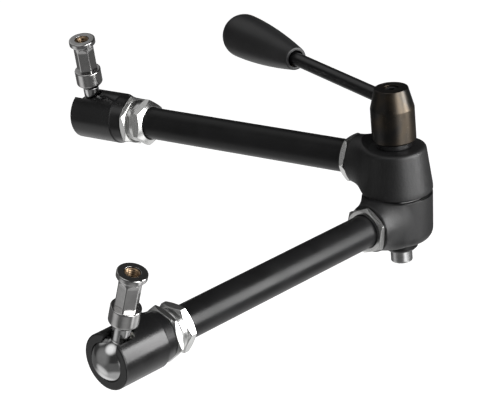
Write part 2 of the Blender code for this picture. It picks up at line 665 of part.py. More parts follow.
def build():
    """Place the frames from the lower spigot up the arm, and model every piece in its frame."""
    lower_turn = arm_turn(math.pi, LOWER_SLOT_ROLL)
    lower_stud = lower_turn @ turn("Y", LOWER_STUD_TILT)
    lower_ball = lower_stud @ shift(0, 0, -SPIGOT_REACH)
    lower_arm = Matrix.Translation(lower_ball.translation) @ lower_turn @ shift(0, 0, -BALL_DISTANCE)
    elbow_place = Matrix.Translation(lower_arm.translation) @ shift(0, 0, LOWER_TUBE_DROP)
    upper_turn = arm_turn(math.pi - ELBOW_ANGLE, UPPER_SLOT_ROLL)
    upper_arm = elbow_place @ shift(0, 0, UPPER_TUBE_HEIGHT) @ upper_turn
    upper_ball = upper_arm @ shift(0, 0, BALL_DISTANCE) @ turn("Y", UPPER_STUD_TILT)
    lever_place = elbow_place @ shift(0, 0, LEVER_HEIGHT) @ arm_turn(LEVER_AZIMUTH, 0.0)

    lower_stud_frame = new_frame("lower_stud_frame", lower_ball)
    lower_arm_tilt = new_frame("lower_arm_tilt", lower_arm @ shift(0, 0, BALL_DISTANCE), lower_stud_frame)
    lower_arm_frame = new_frame("lower_arm_frame", lower_arm, lower_arm_tilt)
    elbow = new_frame("elbow_frame", elbow_place, lower_arm_frame)
    swing = new_frame("upper_arm_swing", elbow_place, elbow)
    upper_arm_frame = new_frame("upper_arm_frame", upper_arm, swing)
    upper_stud_frame = new_frame("upper_stud_frame", upper_ball, upper_arm_frame)
    hub = new_frame("lever_turn", elbow_place, swing)
    lever = new_frame("lever_frame", lever_place, hub)

    for side, frame in (("lower", lower_stud_frame), ("upper", upper_stud_frame)):
        ball_stud(side, frame)
        spigot(side, frame)
        thread_bush(side, frame)
    build_arm("lower", lower_arm_frame)
    build_arm("upper", upper_arm_frame)
    lower_casting(lower_arm_frame, elbow)
    upper_casting(upper_arm_frame, swing)
    half = WASHER_THICKNESS / 2
    ring("elbow_washer", SHAFT_BORE, CASTING_RADIUS - WASHER_INSET, -half, half, elbow, "steel")
    elbow_shaft(elbow)
    base_bush(elbow)
    ring("thrust_washer", SHAFT_BORE, THRUST_RADIUS, THRUST_START, THRUST_START + THRUST_HEIGHT,
         swing, "steel")
    lever_hub(hub, lever)
    set_screw(hub)
    lever_rod(lever)
    lever_knob(lever)
    knob_insert(lever)


FINISHES = {
    "polished": ((0.62, 0.62, 0.62), 0.12, 1.0),
    "satin_steel": ((0.45, 0.45, 0.45), 0.30, 1.0),
    "nickel": ((0.60, 0.60, 0.60), 0.28, 1.0),
    "steel": ((0.55, 0.55, 0.56), 0.30, 1.0),
    "brass": ((0.60, 0.38, 0.18), 0.30, 1.0),
    "gloss_black": ((0.015, 0.015, 0.016), 0.25, 0.0),
    "satin_black": ((0.02, 0.02, 0.021), 0.35, 0.0),
    "powder_black": ((0.02, 0.02, 0.02), 0.50, 0.0),
    "burnished": ((0.07, 0.06, 0.05), 0.25, 1.0),
    "moulded_black": ((0.02, 0.02, 0.02), 0.45, 0.0),
    "nylon": ((0.75, 0.73, 0.68), 0.50, 0.0),
}

for leftover in list(bpy.data.objects):
    bpy.data.objects.remove(leftover, do_unlink=True)
WORLD = {}
PARTS = new_collection("articulating_friction_arm")
CUTTERS = new_collection("cutters")
build()
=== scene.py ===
"""Visible pieces of an articulating friction arm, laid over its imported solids, and a plain studio.

Every piece is a surface worked out on a grid of angles and profile rows. It is placed by the joints of
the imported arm, so it goes with the solids when their pose changes. Lengths are in metres.
"""

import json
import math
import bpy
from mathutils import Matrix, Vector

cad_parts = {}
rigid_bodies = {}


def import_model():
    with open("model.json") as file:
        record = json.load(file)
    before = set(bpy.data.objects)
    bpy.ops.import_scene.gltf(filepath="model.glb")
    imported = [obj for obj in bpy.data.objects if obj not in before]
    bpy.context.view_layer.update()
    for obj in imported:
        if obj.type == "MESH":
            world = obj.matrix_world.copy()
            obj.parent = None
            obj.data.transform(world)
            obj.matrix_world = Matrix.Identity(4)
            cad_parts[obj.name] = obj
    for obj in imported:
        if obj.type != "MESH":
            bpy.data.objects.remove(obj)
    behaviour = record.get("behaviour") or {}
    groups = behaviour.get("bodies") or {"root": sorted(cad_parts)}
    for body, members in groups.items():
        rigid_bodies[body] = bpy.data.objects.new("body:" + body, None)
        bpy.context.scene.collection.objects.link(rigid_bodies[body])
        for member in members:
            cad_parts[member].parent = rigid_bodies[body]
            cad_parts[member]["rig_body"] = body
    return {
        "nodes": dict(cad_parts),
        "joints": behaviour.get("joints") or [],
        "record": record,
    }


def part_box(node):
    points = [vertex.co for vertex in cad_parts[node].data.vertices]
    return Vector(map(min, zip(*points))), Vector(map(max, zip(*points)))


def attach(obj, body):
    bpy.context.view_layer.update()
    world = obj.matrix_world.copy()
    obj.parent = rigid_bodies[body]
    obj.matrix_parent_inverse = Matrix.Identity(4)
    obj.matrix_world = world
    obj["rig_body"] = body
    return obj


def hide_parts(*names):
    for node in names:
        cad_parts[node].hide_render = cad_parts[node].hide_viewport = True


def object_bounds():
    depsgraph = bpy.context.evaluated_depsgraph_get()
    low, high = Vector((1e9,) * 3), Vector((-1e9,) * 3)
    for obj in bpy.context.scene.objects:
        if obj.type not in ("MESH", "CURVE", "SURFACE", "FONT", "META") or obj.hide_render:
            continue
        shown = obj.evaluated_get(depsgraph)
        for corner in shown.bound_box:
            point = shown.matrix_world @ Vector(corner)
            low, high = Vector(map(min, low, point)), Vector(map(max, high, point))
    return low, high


bl_info = {
    "name": "Friction Arm",
    "version": (1, 0, 0),
    "blender": (4, 5, 0),
    "location": "3D View > Sidebar > Friction Arm",
    "description": "Adds the pieces of an articulating friction arm and its studio",
    "category": "Add Mesh",
}

import bmesh
import bpy
import numpy as np
from bpy.props import FloatProperty, FloatVectorProperty, IntProperty, PointerProperty
from mathutils import Matrix, Vector

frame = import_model()
CAD_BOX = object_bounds()

MM = 0.001
GAP = 0.3 * MM
EDGE = 0.5 * MM

# Studs and spigots
NECK_END = 20.0 * MM
STUD_THREAD_RADIUS = 3.4 * MM
STUD_THREAD_LENGTH = 10.5 * MM
SPIGOT_LENGTH = 32.7 * MM
COLLAR_HEIGHT = 11.7 * MM
COLLAR_CHAMFER = 2.7 * MM
HEAD_HEIGHT = 4.2 * MM
HEAD_CHAMFER = 1.3 * MM
SHANK_FLATS = 11.0 * MM
SHANK_CORNERS = 12.3 * MM
SHANK_ROUND_PART = 0.9 * MM
FLAT_CUTTER_RADIUS = 5.0 * MM
BUSH_RADIUS = 4.0 * MM
BUSH_HOLE_RADIUS = 3.175 * MM
BUSH_LENGTH = 13.0 * MM
THREAD_PITCH = 1.27 * MM
THREAD_DEPTH = 0.45 * MM

# Ball sockets, their bushings and nuts
SOCKET_LIP = {"lower": 7.5 * MM, "upper": 8.1 * MM}
SOCKET_FRONT = 7.2 * MM
SOCKET_BARREL = 29.3 * MM
SOCKET_BAND = 7.0 * MM
BAND_STEP = 0.6 * MM
BAND_TAPER = 1.1 * MM
SLOT_PLAY = 0.75 * MM
SLOT_REACH = 2.3 * MM
SLOT_CHAMFER = 0.35 * MM
SEAT_DEPTH = 4.1 * MM
SEAT_RIM_RADIUS = 10.8 * MM
SEAT_POCKET = 2.2 * MM
PUSH_TRAVEL = 0.364 * MM
ROD_RADIUS = 4.0 * MM
ROD_PLAY = 0.5 * MM
TUBE_WALL = 2.0 * MM
TUBE_STOP = 2.0 * MM
THREAD_WALL = 2.4 * MM
THREAD_LENGTH = 16.0 * MM
THREAD_SHOWN = 2.5 * MM
BUSHING_FLATS = 24.6 * MM
BUSHING_HEAD = 8.6 * MM
BUSHING_COLLAR_RADIUS = 12.0 * MM
BUSHING_COLLAR = 2.4 * MM
BUSHING_BEVEL = 1.9 * MM
BUSHING_TURN = {"lower": math.radians(48.0), "upper": math.radians(19.0)}
LOCK_NUT_FLATS = 27.2 * MM
LOCK_NUT_HEIGHT = 3.7 * MM
LOCK_NUT_TURN = {"lower": math.radians(30.0), "upper": math.radians(6.0)}
NUT_SLOPE = math.tan(math.radians(30.0))

# Elbow castings and shaft, with heights measured from the parting plane
UPPER_TOP_RADIUS = 17.6 * MM
UPPER_HEIGHT = 27.5 * MM
LOWER_HEIGHT = 29.0 * MM
CASTING_ROUND = 2.4 * MM
LOWER_ROUND = 7.5 * MM
LOWER_DRAFT = 1.2 * MM
PARTING_RIM = 2.0 * MM
PARTING_CHAMFER = 1.0 * MM
BOSS_RADIUS = 13.8 * MM
BOSS_REACH = 5.9 * MM
BOSS_BLEND = 9.0 * MM
BOSS_NEAR = 14.0 * MM
TUBE_ENTRY = 9.0 * MM
ELBOW_NUT_FLATS = 24.4 * MM
ELBOW_NUT_HEIGHT = 3.8 * MM
ELBOW_NUT_TURN = {"lower": math.radians(10.0), "upper": math.radians(40.0)}
WASHER_THICKNESS = 0.8 * MM
WASHER_INSET = 2.6 * MM
SHAFT_RADIUS = 7.2 * MM
SHAFT_PLAY = 0.6 * MM
SHAFT_TRAVEL = 1.0 * MM
SHAFT_THREAD_RADIUS = 5.6 * MM
WEDGE_RADIUS = 6.0 * MM
WEDGE_THROAT = 4.6 * MM
WEDGE_SLOPE = math.radians(20.0)
PIN_RADIUS = 6.2 * MM
PIN_ROOM = 2.8 * MM
PIN_REACH = 7.6 * MM
BASE_BUSH_RADIUS = 9.7 * MM
BASE_BUSH_HEIGHT = 5.2 * MM
BASE_BUSH_SLEEVE = 4.5 * MM
BASE_BUSH_CHAMFER = 1.5 * MM
THRUST_RADIUS = 9.8 * MM
THRUST_HEIGHT = 3.1 * MM

# Lever
HUB_TOP_RADIUS = 9.5 * MM
HUB_CONE = 11.5 * MM
HUB_HEIGHT = 30.8 * MM
HUB_EDGE = 0.8 * MM
HUB_ROOF = 1.3 * MM
LEVER_ROD_PAST_AXIS = 6.0 * MM
LEVER_ROD_IN_KNOB = 36.0 * MM
SET_SCREW_RADIUS = 4.0 * MM
SET_SCREW_SINK = 0.7 * MM
SET_SCREW_FLATS = 4.0 * MM
SET_SCREW_SOCKET = 2.2 * MM
KNOB_START = 102.0 * MM
KNOB_TAPER = 61.0 * MM
KNOB_DOME = 13.5 * MM
KNOB_NECK_RADIUS = 6.9 * MM
KNOB_SWELL = 1.77
KNOB_ROUND = 1.2 * MM
KNOB_MOUTH = 9.0 * MM
KNOB_MOUTH_PLAY = 0.9 * MM
INSERT_WALL = 2.0 * MM

# Studio, with the camera's place and aim measured from the elbow
PHOTO_WIDTH = 500
SENSOR_WIDTH = 36.0
FOCAL_PIXELS = 2128.6
CAMERA_PLACE = Vector((-0.8283, -0.7418, 0.4513))
CAMERA_AIM = Vector((-0.05744, 0.06019, 0.00120))
CAMERA_ROLL = math.radians(-5.258)
FLOOR_SIZE = 12.0
FLOOR_CLEARANCE = 290.0 * MM
FLOOR_GLOW = 0.80
ROOM_LEVEL = 0.04
# azimuth, elevation, inner and outer angle in degrees, brightness
ROOM_PATCHES = ((155.0, 12.0, 15.0, 50.0, 0.25), (-174.0, 57.0, 4.0, 32.0, 1.3),
                (82.0, 42.0, 10.0, 30.0, 0.55), (-66.0, -42.0, 5.0, 19.0, 2.0),
                (-160.0, -75.0, 15.0, 40.0, 0.5), (-98.0, -6.0, 5.0, 30.0, 2.2),
                (140.0, -41.0, 2.0, 30.0, 0.8), (46.0, -24.0, 9.0, 17.0, 1.0))
TABLE_LEVEL = 0.9
TABLE_DIM = 0.13
TABLE_WAY = (46.0, 0.0)
TABLE_START = (-0.30, 0.30)
TABLE_DEPTH = (-0.50, -0.70)
TABLE_EDGE = (0.0, -0.12)
# azimuth, elevation, distance from the arm's middle, width, height, brightness
SOFTBOXES = (("right_softbox", -92.0, 14.0, 1.4, 0.55, 1.1, 6.0),
             ("side_softbox", -60.0, 11.0, 0.70, 0.22, 0.50, 13.0))

SIDES = ("lower", "upper")
JOINTS = {joint["name"]: joint for joint in frame["joints"]}


def sizes():
    """The sizes that the sidebar shows."""
    return bpy.context.scene.friction_arm_sizes


def colours():
    """The colours that the sidebar shows."""
    return bpy.context.scene.friction_arm_colours


# Places: three unit rows x, y, z and an origin

def place(origin, y, z):
    """A place whose z runs along a piece and whose y is near the given one."""
    z = np.array(z, float) / np.linalg.norm(z)
    x = np.cross(y, z)
    x = x / np.linalg.norm(x)
    return np.array([x, np.cross(z, x), z]), np.array(origin, float)


def moved(spot, distance):
    """The same place, moved along its own z."""
    axes, origin = spot
    return axes, origin + axes[2] * distance


def stud_place(side):
    """Ball centre, with z along the stud and y along the tilt's axis."""
    tilt = JOINTS[side + "_ball_tilt"]
    return place(tilt["pos_m"], tilt["axis"], JOINTS[side + "_spigot_spin"]["axis"])


def arm_place(side):
    """Elbow's axis at the tube's height, with z along the tube towards its ball."""
    tilt = JOINTS[side + "_ball_tilt"]
    elbow = JOINTS["elbow_turn"]["pos_m"]
    origin = (elbow[0], elbow[1], tilt["pos_m"][2])
    return place(origin, tilt["axis"], JOINTS[side + "_push_slide"]["axis"])


def ball_distance(side):
    """Distance from the elbow's axis to a ball's centre."""
    axes, origin = arm_place(side)
    return float(np.dot(np.array(JOINTS[side + "_ball_tilt"]["pos_m"]) - origin, axes[2]))


def elbow_place():
    """Middle of the parting plane, with z up the shaft."""
    return place(JOINTS["elbow_turn"]["pos_m"], (0, 1, 0), (0, 0, 1))


def lever_place():
    """Elbow's axis at the rod's height, with z along the rod towards the knob."""
    low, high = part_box("lever_rod")
    middle = (np.array(low) + np.array(high)) / 2
    elbow = np.array(JOINTS["elbow_turn"]["pos_m"])
    along = np.array([middle[0] - elbow[0], middle[1] - elbow[1], 0.0])
    origin = (elbow[0], elbow[1], middle[2])
    return place(origin, np.cross(along, (0, 0, 1)), along)


# Surfaces

def arc(radius_middle, height_middle, radius, start, end, count):
    """Corners along an arc, from a start to an end angle in degrees above the radius's direction."""
    turns = np.radians(np.linspace(start, end, count))
    return [(radius_middle + radius * math.cos(a), height_middle + radius * math.sin(a), 0.0) for a in turns]


def soften(corners, columns, closed=False, steps=4):
    """Radius and height rows of a profile, with its corners rounded.

    A corner is a radius, a height and a reach. It gives way to the quadratic curve that starts and
    ends its reach away on its two sides. One more row on each side keeps the flats looking flat.
    """
    spots = []
    for radius, height, reach in corners:
        spots.append(np.stack([np.broadcast_to(radius, columns), np.broadcast_to(height, columns)], -1))
    rows = []
    for i, (radius, height, reach) in enumerate(corners):
        here = spots[i]
        inner = closed or 0 < i < len(corners) - 1
        if reach == 0.0 or not inner:
            rows.append(here)
            continue
        back = spots[i - 1] - here
        ahead = spots[(i + 1) % len(spots)] - here
        share_back = reach / np.maximum(np.linalg.norm(back, axis=-1, keepdims=True), 1e-9)
        share_ahead = reach / np.maximum(np.linalg.norm(ahead, axis=-1, keepdims=True), 1e-9)
        rows.append(here + back * np.minimum(share_back * 1.8, 0.46))
        start = here + back * np.minimum(share_back, 0.4)
        end = here + ahead * np.minimum(share_ahead, 0.4)
        for t in np.linspace(0.0, 1.0, steps + 1):
            rows.append((1 - t) ** 2 * start + 2 * t * (1 - t) * here + t ** 2 * end)
        rows.append(here + ahead * np.minimum(share_ahead * 1.8, 0.46))
    if closed:
        rows.append(rows[0])
    rows = np.array(rows)
    return rows[..., 0], rows[..., 1]


def ring_angles(columns):
    """Angles all round, with the first one repeated at the end."""
    return np.linspace(0.0, math.tau, columns + 1)


def hexagon(angles, flats, corner_round):
    """Distance of a hexagon's outline from its middle at each angle, with its corners on 0, 60...

    A flat is its half width over the cosine of the angle from its middle. Near a corner the outline
    is the far side of a circle of the given radius that touches both flats.
    """
    half = flats / 2
    from_corner = (angles + math.pi / 6) % (math.pi / 3) - math.pi / 6
    middle = (half - corner_round) / math.cos(math.pi / 6)
    touch = math.pi / 6 - math.atan2(middle * 0.5, half)
    straight = half / np.cos(math.pi / 6 - np.abs(from_corner))
    inside = np.maximum(corner_round ** 2 - (middle * np.sin(from_corner)) ** 2, 0.0)
    rounded = middle * np.cos(from_corner) + np.sqrt(inside)
    return np.where(np.abs(from_corner) < touch, rounded, straight)


def hexagon_angles(per_half_side):
    """Angles all round that crowd towards a hexagon's corners."""
    spread = np.linspace(-1.0, 1.0, 2 * per_half_side + 1)[:-1]
    sector = np.sign(spread) * np.abs(spread) ** 1.7 * math.pi / 6
    return np.append(np.concatenate([sector + k * math.pi / 3 for k in range(6)]), sector[0] + math.tau)


def grid_object(name, points, along, around, spot, sharp=32.0):
    """A mesh object from rows and columns of points in a place, with its seams and poles closed.

    The UV map holds the share of a turn across and the length down the profile.
    """
    axes, origin = spot
    rows, columns = points.shape[:2]
    index = np.arange(rows * columns).reshape(rows, columns)
    quads = np.stack([index[:-1, :-1], index[:-1, 1:], index[1:, 1:], index[1:, :-1]], -1).reshape(-1, 4)
    mesh = bpy.data.meshes.new(name)
    mesh.from_pydata((points.reshape(-1, 3) @ axes + origin).tolist(), [], quads.tolist())
    layer = mesh.uv_layers.new(name="turned")
    uv = np.stack([quads % columns, quads // columns], -1).reshape(-1, 2)
    uv = np.stack([around[uv[:, 0]], along[uv[:, 1]]], -1)
    layer.data.foreach_set("uv", uv.astype(np.float32).ravel())
    bm = bmesh.new()
    bm.from_mesh(mesh)
    bmesh.ops.remove_doubles(bm, verts=bm.verts, dist=1e-6)
    bmesh.ops.dissolve_degenerate(bm, edges=bm.edges, dist=1e-7)
    bmesh.ops.recalc_face_normals(bm, faces=bm.faces)
    bm.to_mesh(mesh)
    bm.free()
    mesh.shade_smooth()
    mesh.set_sharp_from_angle(angle=math.radians(sharp))
    obj = bpy.data.objects.new(name, mesh)
    bpy.context.scene.collection.objects.link(obj)
    return obj


def turned(name, radius, height, angles, spot, turn=0.0, sharp=32.0):
    """Surface r(angle, row), z(angle, row) about a place's z axis."""
    swing = angles + turn
    points = np.stack([radius * np.cos(swing), radius * np.sin(swing), height], -1)
    mean = np.stack([radius.mean(axis=1), height.mean(axis=1)], -1)
    along = np.append(0.0, np.cumsum(np.linalg.norm(np.diff(mean, axis=0), axis=1)))
    return grid_object(name, points, along, angles / math.tau, spot, sharp)


def lathe(name, corners, spot, closed=False, columns=None):
    """A turned piece: a profile with rounded corners, carried round its axis."""
    columns = columns or sizes().columns
    angles = ring_angles(columns)
    radius, height = soften(corners, len(angles), closed)
    return turned(name, radius, height, angles, spot)


def keep_largest(mesh):
    """Delete every part of a mesh that doesn't hang together with its largest one.

    Each vertex takes the lowest number among its neighbours' until none changes, so a part ends up
    with one number.
    """
    edges = np.empty(len(mesh.edges) * 2, int)
    mesh.edges.foreach_get("vertices", edges)
    first, second = edges.reshape(-1, 2).T
    label = np.arange(len(mesh.vertices))
    while True:
        low = np.minimum(label[first], label[second])
        lowest = label.copy()
        np.minimum.at(lowest, first, low)
        np.minimum.at(lowest, second, low)
        lowest = lowest[lowest]
        if np.array_equal(lowest, label):
            break
        label = lowest
    loose = np.flatnonzero(label != np.bincount(label).argmax())
    work = bmesh.new()
    work.from_mesh(mesh)
    work.verts.ensure_lookup_table()
    bmesh.ops.delete(work, geom=[work.verts[i] for i in loose], context="VERTS")
    work.to_mesh(mesh)
    work.free()


def cut(piece, cutter, sharp=32.0):
    """Take a cutter out of a piece and delete the cutter."""
    boolean = piece.modifiers.new("cut", "BOOLEAN")
    boolean.operation = "DIFFERENCE"
    boolean.solver = "EXACT"
    boolean.object = cutter
    mesh = bpy.data.meshes.new_from_object(piece.evaluated_get(bpy.context.evaluated_depsgraph_get()))
    old = piece.data
    piece.modifiers.clear()
    piece.data = mesh
    bpy.data.meshes.remove(old)
    bpy.data.objects.remove(cutter)
    mesh.name = piece.name
    keep_largest(mesh)
    mesh.shade_smooth()
    mesh.set_sharp_from_angle(angle=math.radians(sharp))
    if not len(mesh.polygons):
        raise RuntimeError(piece.name + " was cut away")
    return piece


def settle(piece, node, finish):
    """Let a piece stand for its node, ride where the node rides and take its finish."""
    piece.data.materials.clear()
    piece.data.materials.append(finish)
    body = frame["nodes"][node]["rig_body"]
    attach(piece, body)
    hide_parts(node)
    return piece


# Finishes

def add_node(tree, kind, **values):
    """A shader node with some of its inputs or settings given."""
    node = tree.nodes.new(kind)
    for key, value in values.items():
        if hasattr(node, key):
            setattr(node, key, value)
        else:
            node.inputs[key.replace("_", " ")].default_value = value
    return node


def new_finish(name, colour, roughness, metallic):
    """A material with a Principled shader and its links' tree."""
    name = "finish_" + name
    material = bpy.data.materials.get(name)
    if material:
        return material, None, None
    material = bpy.data.materials.new(name)
    material.use_nodes = True
    material.diffuse_color = (*colour, 1.0)
    shader = material.node_tree.nodes["Principled BSDF"]
    shader.inputs["Base Color"].default_value = (*colour, 1.0)
    shader.inputs["Roughness"].default_value = roughness
    shader.inputs["Metallic"].default_value = metallic
    return material, material.node_tree, shader


def spread_noise(tree, scale, detail=3.0, distortion=0.0):
    """Noise on the piece's own coordinates, with cells of 1 / scale metres."""
    place_node = add_node(tree, "ShaderNodeTexCoord")
    noise = add_node(tree, "ShaderNodeTexNoise", Scale=scale, Detail=detail, Distortion=distortion)
    tree.links.new(place_node.outputs["Object"], noise.inputs["Vector"])
    return noise.outputs["Fac"]


def line_noise(tree, lines, detail=4.0):
    """Noise that changes only along the profile, as the marks of a lathe tool do."""
    uv = add_node(tree, "ShaderNodeUVMap", uv_map="turned")
    split = add_node(tree, "ShaderNodeSeparateXYZ")
    tree.links.new(uv.outputs["UV"], split.inputs["Vector"])
    noise = add_node(tree, "ShaderNodeTexNoise", noise_dimensions="1D", Scale=lines, Detail=detail)
    tree.links.new(split.outputs["Y"], noise.inputs["W"])
    return noise.outputs["Fac"]


def remap(tree, value, low, high, start=0.3, end=0.7):
    """A value spread from one range to another."""
    node = add_node(tree, "ShaderNodeMapRange")
    node.inputs["From Min"].default_value = start
    node.inputs["From Max"].default_value = end
    node.inputs["To Min"].default_value = low
    node.inputs["To Max"].default_value = high
    tree.links.new(value, node.inputs["Value"])
    return node.outputs["Result"]


def blend_colours(tree, value, first, second, start=0.3, end=0.7):
    """A colour between two, led by a value."""
    mix = add_node(tree, "ShaderNodeMix", data_type="RGBA")
    mix.inputs[6].default_value = (*first, 1.0)
    mix.inputs[7].default_value = (*second, 1.0)
    tree.links.new(remap(tree, value, 0.0, 1.0, start, end), mix.inputs["Factor"])
    return mix.outputs[2]


def shaded(colour, share):
    """A colour made lighter or darker."""
    return tuple(min(1.0, c * share) for c in colour)


def bump(tree, shader, value, depth, before=None):
    """Raise and lower the surface by a value, over any earlier bump."""
    node = add_node(tree, "ShaderNodeBump", Strength=1.0, Distance=depth)
    tree.links.new(value, node.inputs["Height"])
    if before:
        tree.links.new(before, node.inputs["Normal"])
    tree.links.new(node.outputs["Normal"], shader.inputs["Normal"])
    return node.outputs["Normal"]


def turned_metal(name, colour, roughness, line_depth, lines=9000.0):
    """Bare or plated metal with fine turning lines, faint handling marks and slight tarnish."""
    material, tree, shader = new_finish(name, colour, roughness, 1.0)
    if tree is None:
        return material
    marks = line_noise(tree, lines)
    haze = spread_noise(tree, 160.0)
    tree.links.new(blend_colours(tree, haze, shaded(colour, 0.88), shaded(colour, 1.06)),
                   shader.inputs["Base Color"])
    tree.links.new(remap(tree, marks, roughness * 0.8, roughness * 1.25), shader.inputs["Roughness"])
    bump(tree, shader, marks, line_depth)
    return material


def anodised(name, colour, roughness, line_depth, grain, shine=0.5):
    """Black anodised aluminium: fine lines from the lathe under an even dark skin."""
    material, tree, shader = new_finish(name, colour, roughness, 0.0)
    if tree is None:
        return material
    shader.inputs["Specular IOR Level"].default_value = shine
    marks = line_noise(tree, 5000.0)
    speck = spread_noise(tree, grain, 2.0)
    haze = spread_noise(tree, 60.0, 4.0)
    tree.links.new(blend_colours(tree, haze, shaded(colour, 0.8), shaded(colour, 1.3)),
                   shader.inputs["Base Color"])
    tree.links.new(remap(tree, haze, roughness * 0.9, roughness * 1.15), shader.inputs["Roughness"])
    lined = bump(tree, shader, marks, line_depth)
    bump(tree, shader, speck, line_depth * 1.5, lined)
    return material


def powder_coat(name, colour, roughness):
    """Powder coat: small soft pimples over a larger orange peel."""
    material, tree, shader = new_finish(name, colour, roughness, 0.0)
    if tree is None:
        return material
    pimples = spread_noise(tree, 1500.0, 2.0)
    peel = spread_noise(tree, 700.0, 2.0)
    haze = spread_noise(tree, 45.0, 3.0)
    tree.links.new(blend_colours(tree, haze, shaded(colour, 0.85), shaded(colour, 1.25)),
                   shader.inputs["Base Color"])
    tree.links.new(remap(tree, pimples, roughness * 0.85, roughness * 1.2), shader.inputs["Roughness"])
    coarse = bump(tree, shader, peel, 0.05 * MM)
    bump(tree, shader, pimples, 0.05 * MM, coarse)
    return material


def moulded_plastic(name, colour, roughness):
    """Moulded plastic with a fine spark-eroded grain."""
    material, tree, shader = new_finish(name, colour, roughness, 0.0)
    if tree is None:
        return material
    grain = spread_noise(tree, 3200.0, 3.0)
    flow = spread_noise(tree, 40.0, 3.0, 0.6)
    tree.links.new(blend_colours(tree, flow, shaded(colour, 0.85), shaded(colour, 1.25)),
                   shader.inputs["Base Color"])
    tree.links.new(remap(tree, grain, roughness * 0.9, roughness * 1.15), shader.inputs["Roughness"])
    bump(tree, shader, grain, 0.03 * MM)
    return material


def burnished(name, colour, tint, roughness):
    """Burnished steel: a dark oxide skin with brown patches and a few bright specks."""
    material, tree, shader = new_finish(name, colour, roughness, 1.0)
    if tree is None:
        return material
    patches = spread_noise(tree, 55.0, 4.0, 0.8)
    specks = spread_noise(tree, 1500.0, 1.0)
    marks = line_noise(tree, 7000.0)
    skin = blend_colours(tree, patches, colour, tint, 0.38, 0.62)
    bright = add_node(tree, "ShaderNodeMix", data_type="RGBA")
    bright.inputs[7].default_value = (*shaded(tint, 2.6), 1.0)
    tree.links.new(remap(tree, specks, 0.0, 0.6, 0.68, 0.76), bright.inputs["Factor"])
    tree.links.new(skin, bright.inputs[6])
    tree.links.new(bright.outputs[2], shader.inputs["Base Color"])
    tree.links.new(remap(tree, patches, roughness * 0.85, roughness * 1.2), shader.inputs["Roughness"])
    lined = bump(tree, shader, marks, 0.0015 * MM)
    bump(tree, shader, specks, 0.004 * MM, lined)
    return material


def finish_for(slot):
    """The material of one of the record's slots."""
    c = colours()
    if slot == "satin_steel":
        return turned_metal(slot, c.spigot_steel, 0.17, 0.0005 * MM)
    if slot == "polished":
        return turned_metal(slot, c.polished_steel, 0.15, 0.0003 * MM)
    if slot == "nickel":
        return turned_metal(slot, c.nickel, 0.25, 0.0003 * MM)
    if slot == "steel":
        return turned_metal(slot, c.bare_steel, 0.28, 0.0020 * MM)
    if slot == "brass":
        return turned_metal(slot, c.brass, 0.35, 0.0015 * MM)
    if slot == "gloss_black":
        return anodised(slot, c.black, 0.25, 0.0005 * MM, 2500.0)
    if slot == "satin_black":
        return anodised(slot, c.black, 0.33, 0.0008 * MM, 3000.0, 0.25)
    if slot == "black_steel":
        return anodised(slot, c.black, 0.30, 0.0012 * MM, 2500.0)
    if slot == "powder_black":
        return powder_coat(slot, shaded(c.black, 0.9), 0.46)
    if slot == "burnished":
        return burnished(slot, c.burnished_dark, c.burnished_brown, 0.32)
    if slot == "moulded_black":
        return moulded_plastic(slot, shaded(c.black, 2.4), 0.40)
    if slot == "nylon":
        return moulded_plastic(slot, c.nylon, 0.50)
    raise ValueError("no finish is written for " + slot)


def dress(piece, node):
    """Settle a piece with the finish of its node's slot."""
    slots = {part["node"]: part["material_slot"] for part in frame["record"]["subparts"]}
    return settle(piece, node, finish_for(slots[node]))


# Studs and spigots

def build_stud(side):
    """Ball, neck and threaded end in one turned profile."""
    s = sizes()
    spot = stud_place(side)
    neck = math.degrees(math.acos(s.neck_radius / s.ball_radius))
    end = NECK_END + STUD_THREAD_LENGTH
    corners = [(0.0, end, 0.0), (STUD_THREAD_RADIUS, end, EDGE), (STUD_THREAD_RADIUS, NECK_END, 0.1 * MM),
               (s.neck_radius, NECK_END, 0.15 * MM)]
    foot = s.ball_radius * math.sin(math.radians(neck))
    corners.append((s.neck_radius, foot, 0.5 * MM))
    corners += arc(0.0, 0.0, s.ball_radius, neck - 4.0, -90.0, 72)
    corners[-1] = (0.0, -s.ball_radius, 0.0)
    dress(lathe(side + "_ball", corners, spot), side + "_ball_stud")


def shank_rows(angles, low, high):
    """Rows of the hexagonal shank, whose flats run out in the cutter's curve under the head.

    The distance is the flat's, plus what the round cutter leaves near the head, and at most the
    turned bar's radius. The cutter leaves its radius less the square root of the squared radius less
    the squared distance into the runout.
    """
    from_flat = (angles + math.pi / 6) % (math.pi / 3) - math.pi / 6
    flats = SHANK_FLATS / 2 / np.cos(from_flat)
    top = high - SHANK_ROUND_PART
    depth = (SHANK_CORNERS - SHANK_FLATS) / 2
    runout = math.sqrt(FLAT_CUTTER_RADIUS ** 2 - (FLAT_CUTTER_RADIUS - depth) ** 2)
    heights = np.concatenate([[high, top], np.linspace(top, top - runout, 15)[1:], np.linspace(top - runout, low, 5)[1:]])
    rows = []
    for height in heights:
        into = min(max(height - (top - runout), 0.0), FLAT_CUTTER_RADIUS)
        left = FLAT_CUTTER_RADIUS - math.sqrt(FLAT_CUTTER_RADIUS ** 2 - into ** 2)
        rows.append((np.minimum(flats + left, SHANK_CORNERS / 2), height, 0.0))
    return rows


